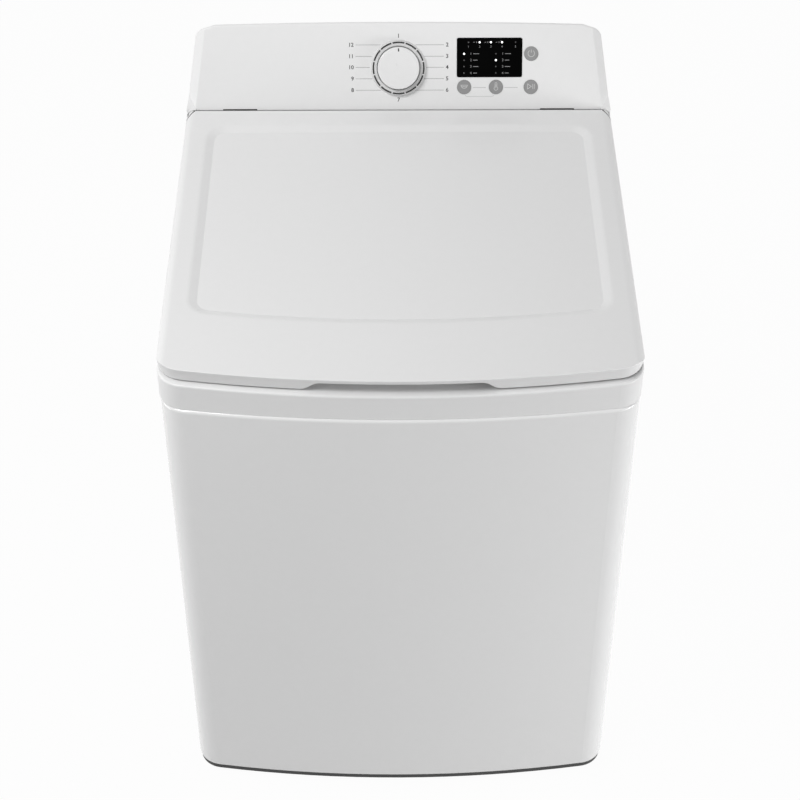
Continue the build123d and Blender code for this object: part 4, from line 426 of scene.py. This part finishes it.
WINDOW_X, WINDOW_UP = face_place("display_window")
LAMP_R, DARK_SHARE, LAMP_RISE = 1.6, 0.8, 0.5
TOP_UP = WINDOW_UP + 24.1
TOP_LAMPS = ((-34.0, False), (-16.0, True), (2.0, True), (19.9, True), (41.6, False))
TOP_FIGURE_DROP, TOP_FIGURE_HEIGHT = 7.0, 3.2
ARROW_TAIL = (-10.2, -7.6)
ARROW_HEAD = ((-5.6, 1.1), (-4.3, 0.0), (-5.6, -1.1))
ARROW_WIDTH = 0.6
COLUMNS = ((-40.9, (True, False, False, False)), (10.2, (False, True, False, False)))
COLUMN_UPS = (6.0, -4.1, -14.2, -24.5)
COLUMN_FIGURE_GAP, COLUMN_FIGURE_HEIGHT = 9.6, 3.8
BAR_GAP, BAR_WIDTH = 14.6, 0.9
BAR_LENGTHS = (9.5, 7.0, 8.4, 6.2)

lamps = {True: bmesh.new(), False: bmesh.new()}
arrows = bmesh.new()
readings = bmesh.new()


def add_lamp(lit, x, up):
    """Lens of the display, lit or dark."""
    add_dome(lamps[lit], x, up, LAMP_R if lit else LAMP_R * DARK_SHARE, WINDOW_BASE, LAMP_RISE)


for index, (offset, lit) in enumerate(TOP_LAMPS):
    x = WINDOW_X + offset
    add_lamp(lit, x, TOP_UP)
    add_number(readings, str(index + 1), x, TOP_UP - TOP_FIGURE_DROP, TOP_FIGURE_HEIGHT, WINDOW_LIFT)
    if lit:
        start, stop = ARROW_TAIL
        add_bar(arrows, x + start, x + stop, TOP_UP, ARROW_WIDTH, WINDOW_BASE, WINDOW_LIFT)
        head = [(x + across, TOP_UP + rise) for across, rise in ARROW_HEAD]
        add_stroke(arrows, head, ARROW_WIDTH, WINDOW_BASE, WINDOW_LIFT)
for column, states in COLUMNS:
    x = WINDOW_X + column
    for index, (rise, lit, length) in enumerate(zip(COLUMN_UPS, states, BAR_LENGTHS)):
        up = WINDOW_UP + rise
        add_lamp(lit, x, up)
        figure_x, bar_x = x + COLUMN_FIGURE_GAP, x + BAR_GAP
        add_number(readings, str(index + 1), figure_x, up, COLUMN_FIGURE_HEIGHT, WINDOW_LIFT, "LEFT")
        add_bar(readings, bar_x, bar_x + length, up, BAR_WIDTH, WINDOW_BASE, WINDOW_LIFT)
piece("display_lamps_lit", lamps[True], lens_on, "cabinet", smooth=True)
piece("display_lamps_dark", lamps[False], lens_off, "cabinet", smooth=True)
piece("display_arrows", arrows, display_ink, "cabinet")
piece("display_figures", readings, display_ink, "cabinet")


# Signs on the buttons, from each button's middle

SIGN_WIDTH = 0.9


def closed_path(points):
    """Points of a line that comes back to its start."""
    return points + points[:1]


SIGNS = {
    "power_button": [arc(0, -0.4, 5.2, 122, 418, 24), [(0, 5.6), (0, 0.8)]],
    "level_button": [
        [(-5.8, 2.2), (5.8, 2.2)],
        arc(0, 2.2, 5.0, 180, 360, 16),
        [(-4.2, -0.2), (4.2, -0.2)],
    ],
    "temperature_button": [
        closed_path(arc(0, -3.0, 3.0, 120, 420, 18) + arc(0, 4.6, 1.5, 0, 180, 8)),
        [(0, 3.4), (0, -2.6)],
    ],
    "start_button": [
        closed_path([(-5.2, -4.0), (0.8, 0), (-5.2, 4.0)]),
        [(3.0, -4.0), (3.0, 4.0)],
        [(5.6, -4.0), (5.6, 4.0)],
    ],
}
for name, strokes in SIGNS.items():
    x, up = face_place(name)
    sign = bmesh.new()
    for stroke in strokes:
        points = [(x + across, up + rise) for across, rise in stroke]
        add_stroke(sign, points, SIGN_WIDTH, BUTTON_BASE, BUTTON_LIFT)
    piece(name + "_sign", sign, icon_grey, name)


# Plain lines beside and under the buttons

CAPTION_START, CAPTION_STOP = 13.8, 35.0
CAPTION_DROP, CAPTION_WIDTH = 1.6, 0.8
CAPTION = (CAPTION_WIDTH, PRINT_BASE, PRINT_LIFT)
BRACKET_DROP, BRACKET_DEEP, BRACKET_WIDTH = 14.0, 15.6, 0.6
BRACKET_LEFT, BRACKET_RIGHT = (1.6, 4.0), (-5.4, -3.0)

captions = bmesh.new()
level, warmth = face_place("level_button"), face_place("temperature_button")
for x, up in (level, warmth):
    add_bar(captions, x + CAPTION_START, x + CAPTION_STOP, up - CAPTION_DROP, *CAPTION)
bracket = [
    (level[0] + BRACKET_LEFT[0], level[1] - BRACKET_DROP),
    (level[0] + BRACKET_LEFT[1], level[1] - BRACKET_DEEP),
    (warmth[0] + BRACKET_RIGHT[0], warmth[1] - BRACKET_DEEP),
    (warmth[0] + BRACKET_RIGHT[1], warmth[1] - BRACKET_DROP),
]
add_stroke(captions, bracket, BRACKET_WIDTH, PRINT_BASE, PRINT_LIFT)
piece("button_captions", captions, ink_soft, "cabinet")


# Painted shade of the gap behind the lid: dark strips on the console's face that stand partly for the
# dark hinges in the gap and partly for the gap's shade

FACE_FOOT = -68.0  # the face's lower edge
HINGE_SPAN = 55.0
HINGE_GAP_SHADE_UP, HINGE_GAP_SHADE_HEIGHT = FACE_FOOT + 2.1, 2.4
HINGE_GAP_SHADE_BASE, HINGE_GAP_SHADE_LIFT = 0.01, 0.12

hinge_edges_and_gap_shade = bmesh.new()
hinge_low, hinge_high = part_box("hinge_brackets")
for side, reach in ((-1, -hinge_low[0] / MM), (1, hinge_high[0] / MM)):
    ends = sorted((side * reach, side * (reach - HINGE_SPAN)))
    add_bar(hinge_edges_and_gap_shade, *ends, HINGE_GAP_SHADE_UP, HINGE_GAP_SHADE_HEIGHT, HINGE_GAP_SHADE_BASE, HINGE_GAP_SHADE_LIFT)
# The strips lie on the console's white face as painted shade, in the hinges' dark finish
piece("hinge_edges_and_gap_shade", hinge_edges_and_gap_shade, hinge_and_shade_dark, "cabinet")


# Painted shade in the grooves across the lid's rear corners: dark strips lying in them, in millimetres
# from the hinge's pin

LID_SLOPE = math.radians(5.5)
LID_REAR, LID_TOP = 11.0, 8.8
LID_HALF, LID_ROLL = 343.0, 15.0
GROOVE_SIDE, GROOVE_BACK = 15.0, 17.0
GROOVE_LENGTH = math.hypot(GROOVE_SIDE, GROOVE_BACK)
GROOVE_SHADE_HALF = 0.92
GROOVE_SHADE_UPPER, GROOVE_SHADE_LOWER = 0.35, 1.6  # depths under the lid's surface
GROOVE_SHADE_SHARES = (0.02, 0.96)
GROOVE_SHADE_STEPS = 14
GROOVE_SHADE_RING = [
    (-GROOVE_SHADE_HALF, GROOVE_SHADE_UPPER), (GROOVE_SHADE_HALF, GROOVE_SHADE_UPPER),
    (GROOVE_SHADE_HALF, GROOVE_SHADE_LOWER), (-GROOVE_SHADE_HALF, GROOVE_SHADE_LOWER),
]
ALONG = Vector((0, math.cos(LID_SLOPE), math.sin(LID_SLOPE)))
LID_AXES = Matrix((RIGHT, ALONG, RIGHT.cross(ALONG))).transposed().to_4x4()
LID = Matrix.Translation(Vector(joint_named("lid_hinge")["pos_m"])) @ LID_AXES


def on_lid(side, x, along, height):
    """Point in the lid's frame on one side of the middle, in metres."""
    return LID @ Vector((side * x * MM, along * MM, height * MM))


def groove_shade_point(side, share, across, depth):
    """Point in a groove: a share of its length, to one side of its middle, under the lid's roll."""
    radius = LID_ROLL - depth
    x = share * GROOVE_SIDE + across * GROOVE_BACK / GROOVE_LENGTH
    along = LID_REAR - share * GROOVE_BACK + across * GROOVE_SIDE / GROOVE_LENGTH
    x, along = min(max(x, 0), radius), min(along, LID_REAR - depth)
    height = LID_TOP - LID_ROLL + math.sqrt(radius ** 2 - x ** 2)
    return on_lid(side, LID_HALF - LID_ROLL + x, along, height)


def add_sweep(mesh, rings):
    """Closed form through rings of points."""
    loops = [[mesh.verts.new(point) for point in ring] for ring in rings]
    for loop, after in zip(loops, loops[1:]):
        for index in range(len(loop)):
            follow = (index + 1) % len(loop)
            mesh.faces.new((loop[index], loop[follow], after[follow], after[index]))
    mesh.faces.new(loops[0][::-1])
    mesh.faces.new(loops[-1])


groove_shade = bmesh.new()
for side in (-1, 1):
    shares = evenly(*GROOVE_SHADE_SHARES, GROOVE_SHADE_STEPS)
    add_sweep(groove_shade, [[groove_shade_point(side, share, *spot) for spot in GROOVE_SHADE_RING] for share in shares])
# The dark strips in the grooves are painted shade, in the hinges' dark finish
piece("corner_groove_shade", groove_shade, hinge_and_shade_dark, "lid")


# Lips of the console over the lid's rolled rear corners, with a cheek and the bevel's foot behind

LIP_UNDER, LIP_OVER, LIP_REACH = 0.35, 0.85, 4.2
LIP_RING = [(0.0, LIP_UNDER), (0.0, LIP_OVER), (LIP_REACH, LIP_OVER), (LIP_REACH, LIP_UNDER)]
LIP_TURNS = (-4.0, 68.0)
LIP_STEPS = 12
CHEEK_TURNS = (24.0, 32.0, 40.0, 48.0, 56.0, 62.0, 68.0)
CHEEK_SIDE, CHEEK_WIDTH, CHEEK_TOP = 342.6, 8.4, 7.6
CHEEK_REACHES = (2.5, 6.0)
BEVEL_FOOT = [(328.4, 3.9, 0.0), (342.4, 3.9, 0.0), (339.0, 26.0, -12.3), (342.0, 3.9, -12.3)]


def lip_point(side, turn, reach, lift):
    """Point over the lid's roll: its turn round it, behind the lid's rear edge, above its surface."""
    radius, angle = LID_ROLL + lift, math.radians(turn)
    x = LID_HALF - LID_ROLL + radius * math.sin(angle)
    height = LID_TOP - LID_ROLL + radius * math.cos(angle)
    return on_lid(side, x, LID_REAR + reach, height)


lips = bmesh.new()
for side in (-1, 1):
    turns = evenly(*LIP_TURNS, LIP_STEPS)
    add_sweep(lips, [[lip_point(side, turn, *spot) for spot in LIP_RING] for turn in turns])
    cheek = [lip_point(side, turn, 0, LIP_UNDER) for turn in CHEEK_TURNS]
    cheek += [on_lid(side, x, LID_REAR, CHEEK_TOP) for x in (CHEEK_SIDE, CHEEK_SIDE - CHEEK_WIDTH)]
    add_sweep(lips, [[point + ALONG * reach * MM for point in cheek] for reach in CHEEK_REACHES])
    foot = [on_face(side * x, FACE_FOOT + up, lift) for x, up, lift in BEVEL_FOOT]
    corners = [lips.verts.new(point) for point in foot]
    for skip in range(len(corners)):
        lips.faces.new(corners[:skip] + corners[skip + 1:])
piece("corner_lips", lips, moulded, "cabinet")


# Screws of the rear panel

SCREW_R, SCREW_HEIGHT, SCREW_SIDES = 4.2, 2.2, 18
SCREW_PROFILE = ((1.0, 0.0), (1.0, 0.45), (0.86, 0.8), (0.6, 1.0))  # shares of radius and height
CROSS_ARM, CROSS_HALF = 0.42 * SCREW_R, 0.09 * SCREW_R
CROSS_LIFT = 0.05
SCREW_EDGE = 9.0
SCREW_SHARES = (0.02, 0.34, 0.66, 0.98)
SHEET_LAP = 1.2  # from the shell's rear edge to the panel's outer face
TO_REAR = Matrix(((-1, 0, 0), (0, 0, 1), (0, 1, 0))).to_4x4()


def cross_outline():
    """A plus sign, one arm after the other."""
    arm = [(CROSS_HALF, -CROSS_HALF), (CROSS_ARM, -CROSS_HALF), (CROSS_ARM, CROSS_HALF)]
    turns = ((1, 0), (0, 1), (-1, 0), (0, -1))
    return [(x * c - y * s, x * s + y * c) for c, s in turns for x, y in arm]


def add_screw(mesh, place):
    """Pan head with a cross."""
    turns = [2 * math.pi * index / SCREW_SIDES for index in range(SCREW_SIDES)]
    loops = []
    for width, height in SCREW_PROFILE:
        reach, lift = SCREW_R * width * MM, SCREW_HEIGHT * height * MM
        ring = [Vector((reach * math.cos(turn), reach * math.sin(turn), lift)) for turn in turns]
        loops.append([place @ point for point in ring])
    add_sweep(mesh, loops)
    add_prism(mesh, cross_outline(), SCREW_HEIGHT, SCREW_HEIGHT + CROSS_LIFT, place)


screws = bmesh.new()
panel_low, panel_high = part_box("rear_panel")
rear_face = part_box("cabinet_shell")[1][1] - SHEET_LAP * MM
for x in (panel_low[0] + SCREW_EDGE * MM, panel_high[0] - SCREW_EDGE * MM):
    for share in SCREW_SHARES:
        spot = Vector((x, rear_face, panel_low[2] + share * (panel_high[2] - panel_low[2])))
        add_screw(screws, Matrix.Translation(spot) @ TO_REAR)
piece("rear_screws", screws, zinc, "cabinet", smooth=True)


# Stage, light and camera

FLOOR_HALF = 9.0
FLOOR_TONE, FLOOR_DRIFT, FLOOR_GRAIN = 0.45, 0.03, 0.6
FLOOR_SHARE = 0.97  # how much of the seen floor is plain white, the rest takes the shadow
AMBIENT = 0.41
SOFT_BOXES = (  # name, place, target, width, height, power
    ("key_box", (-1.5, -1.1, 3.3), (0, -0.1, 0.8), 1.2, 1.0, 51.0),
    ("left_box", (-2.7, -0.5, 0.42), (0, 0, 0.36), 1.6, 0.8, 14.0),
    ("right_box", (2.5, -1.3, 0.42), (0, 0, 0.36), 1.6, 0.8, 36.0),
)
LENS, SENSOR = 80.64, 36.0
CAMERA_PLACE = (-0.011, -2.2585, 2.4567)
CAMERA_TILT, CAMERA_PAN = 49.7, -0.3


def seen_rays(tree, share):
    """A share for rays that show a surface, straight, mirrored or through glass, and none for light."""
    rays = tree.nodes.new("ShaderNodeLightPath")
    either = tree.nodes.new("ShaderNodeMath")
    either.operation = "MAXIMUM"
    link(tree, rays.outputs["Is Camera Ray"], either.inputs[0])
    link(tree, rays.outputs["Is Glossy Ray"], either.inputs[1])
    both = tree.nodes.new("ShaderNodeMath")
    both.operation = "MAXIMUM"
    link(tree, either.outputs[0], both.inputs[0])
    link(tree, rays.outputs["Is Transmission Ray"], both.inputs[1])
    scaled = tree.nodes.new("ShaderNodeMath")
    scaled.operation = "MULTIPLY"
    scaled.inputs[1].default_value = share
    link(tree, both.outputs[0], scaled.inputs[0])
    return scaled.outputs[0]


def floor_material():
    """Matte floor for the light, and nearly plain white to the eye."""
    material = bpy.data.materials.new("floor_white")
    material.use_nodes = True
    tree = material.node_tree
    tree.nodes.clear()
    out = tree.nodes.new("ShaderNodeOutputMaterial")
    matte = tree.nodes.new("ShaderNodeBsdfDiffuse")
    noise = tree.nodes.new("ShaderNodeTexNoise")
    noise.inputs["Scale"].default_value = FLOOR_GRAIN
    ramp = tree.nodes.new("ShaderNodeValToRGB")
    for element, tone in zip(ramp.color_ramp.elements, (FLOOR_TONE, FLOOR_TONE + FLOOR_DRIFT)):
        element.color = (tone, tone, tone, 1)
    link(tree, noise.outputs["Fac"], ramp.inputs["Fac"])
    link(tree, ramp.outputs["Color"], matte.inputs["Color"])
    plain = tree.nodes.new("ShaderNodeEmission")
    plain.inputs["Strength"].default_value = 1.0
    mix = tree.nodes.new("ShaderNodeMixShader")
    link(tree, seen_rays(tree, FLOOR_SHARE), mix.inputs["Fac"])
    link(tree, matte.outputs["BSDF"], mix.inputs[1])
    link(tree, plain.outputs["Emission"], mix.inputs[2])
    link(tree, mix.outputs["Shader"], out.inputs["Surface"])
    return material


def stage_floor():
    """Level square under the feet."""
    mesh = bpy.data.meshes.new("floor")
    corners = [(-1, -1), (1, -1), (1, 1), (-1, 1)]
    mesh.from_pydata([(x * FLOOR_HALF, y * FLOOR_HALF, 0) for x, y in corners], [], [(0, 1, 2, 3)])
    floor = bpy.data.objects.new("floor", mesh)
    scene.collection.objects.link(floor)
    mesh.materials.append(floor_material())


def white_world(ambient):
    """Soft light all round, and white to the eye."""
    world = bpy.data.worlds.new("studio")
    scene.world = world
    world.use_nodes = True
    tree = world.node_tree
    tree.nodes.clear()
    out = tree.nodes.new("ShaderNodeOutputWorld")
    soft = tree.nodes.new("ShaderNodeBackground")
    soft.inputs["Color"].default_value = (1, 1, 1, 1)
    soft.inputs["Strength"].default_value = ambient
    white = tree.nodes.new("ShaderNodeBackground")
    white.inputs["Color"].default_value = (1, 1, 1, 1)
    white.inputs["Strength"].default_value = 1.0
    mix = tree.nodes.new("ShaderNodeMixShader")
    link(tree, seen_rays(tree, 1.0), mix.inputs["Fac"])
    link(tree, soft.outputs["Background"], mix.inputs[1])
    link(tree, white.outputs["Background"], mix.inputs[2])
    link(tree, mix.outputs["Shader"], out.inputs["Surface"])


def soft_box(name, place, target, width, height, power):
    """Flat lamp that points at a target and isn't seen itself."""
    lamp = bpy.data.lights.new(name, "AREA")
    lamp.shape = "RECTANGLE"
    lamp.size = width
    lamp.size_y = height
    lamp.energy = power
    obj = bpy.data.objects.new(name, lamp)
    scene.collection.objects.link(obj)
    obj.location = place
    obj.rotation_euler = (Vector(target) - Vector(place)).to_track_quat("-Z", "Y").to_euler()
    obj.visible_camera = False


stage_floor()
white_world(AMBIENT)
for box in SOFT_BOXES:
    soft_box(*box)

camera = bpy.data.cameras.new("camera")
camera.lens = LENS
camera.sensor_width = SENSOR
viewer = bpy.data.objects.new("camera", camera)
scene.collection.objects.link(viewer)
viewer.location = CAMERA_PLACE
viewer.rotation_euler = (math.radians(CAMERA_TILT), 0, math.radians(CAMERA_PAN))
scene.camera = viewer
scene.view_settings.view_transform = "Standard"
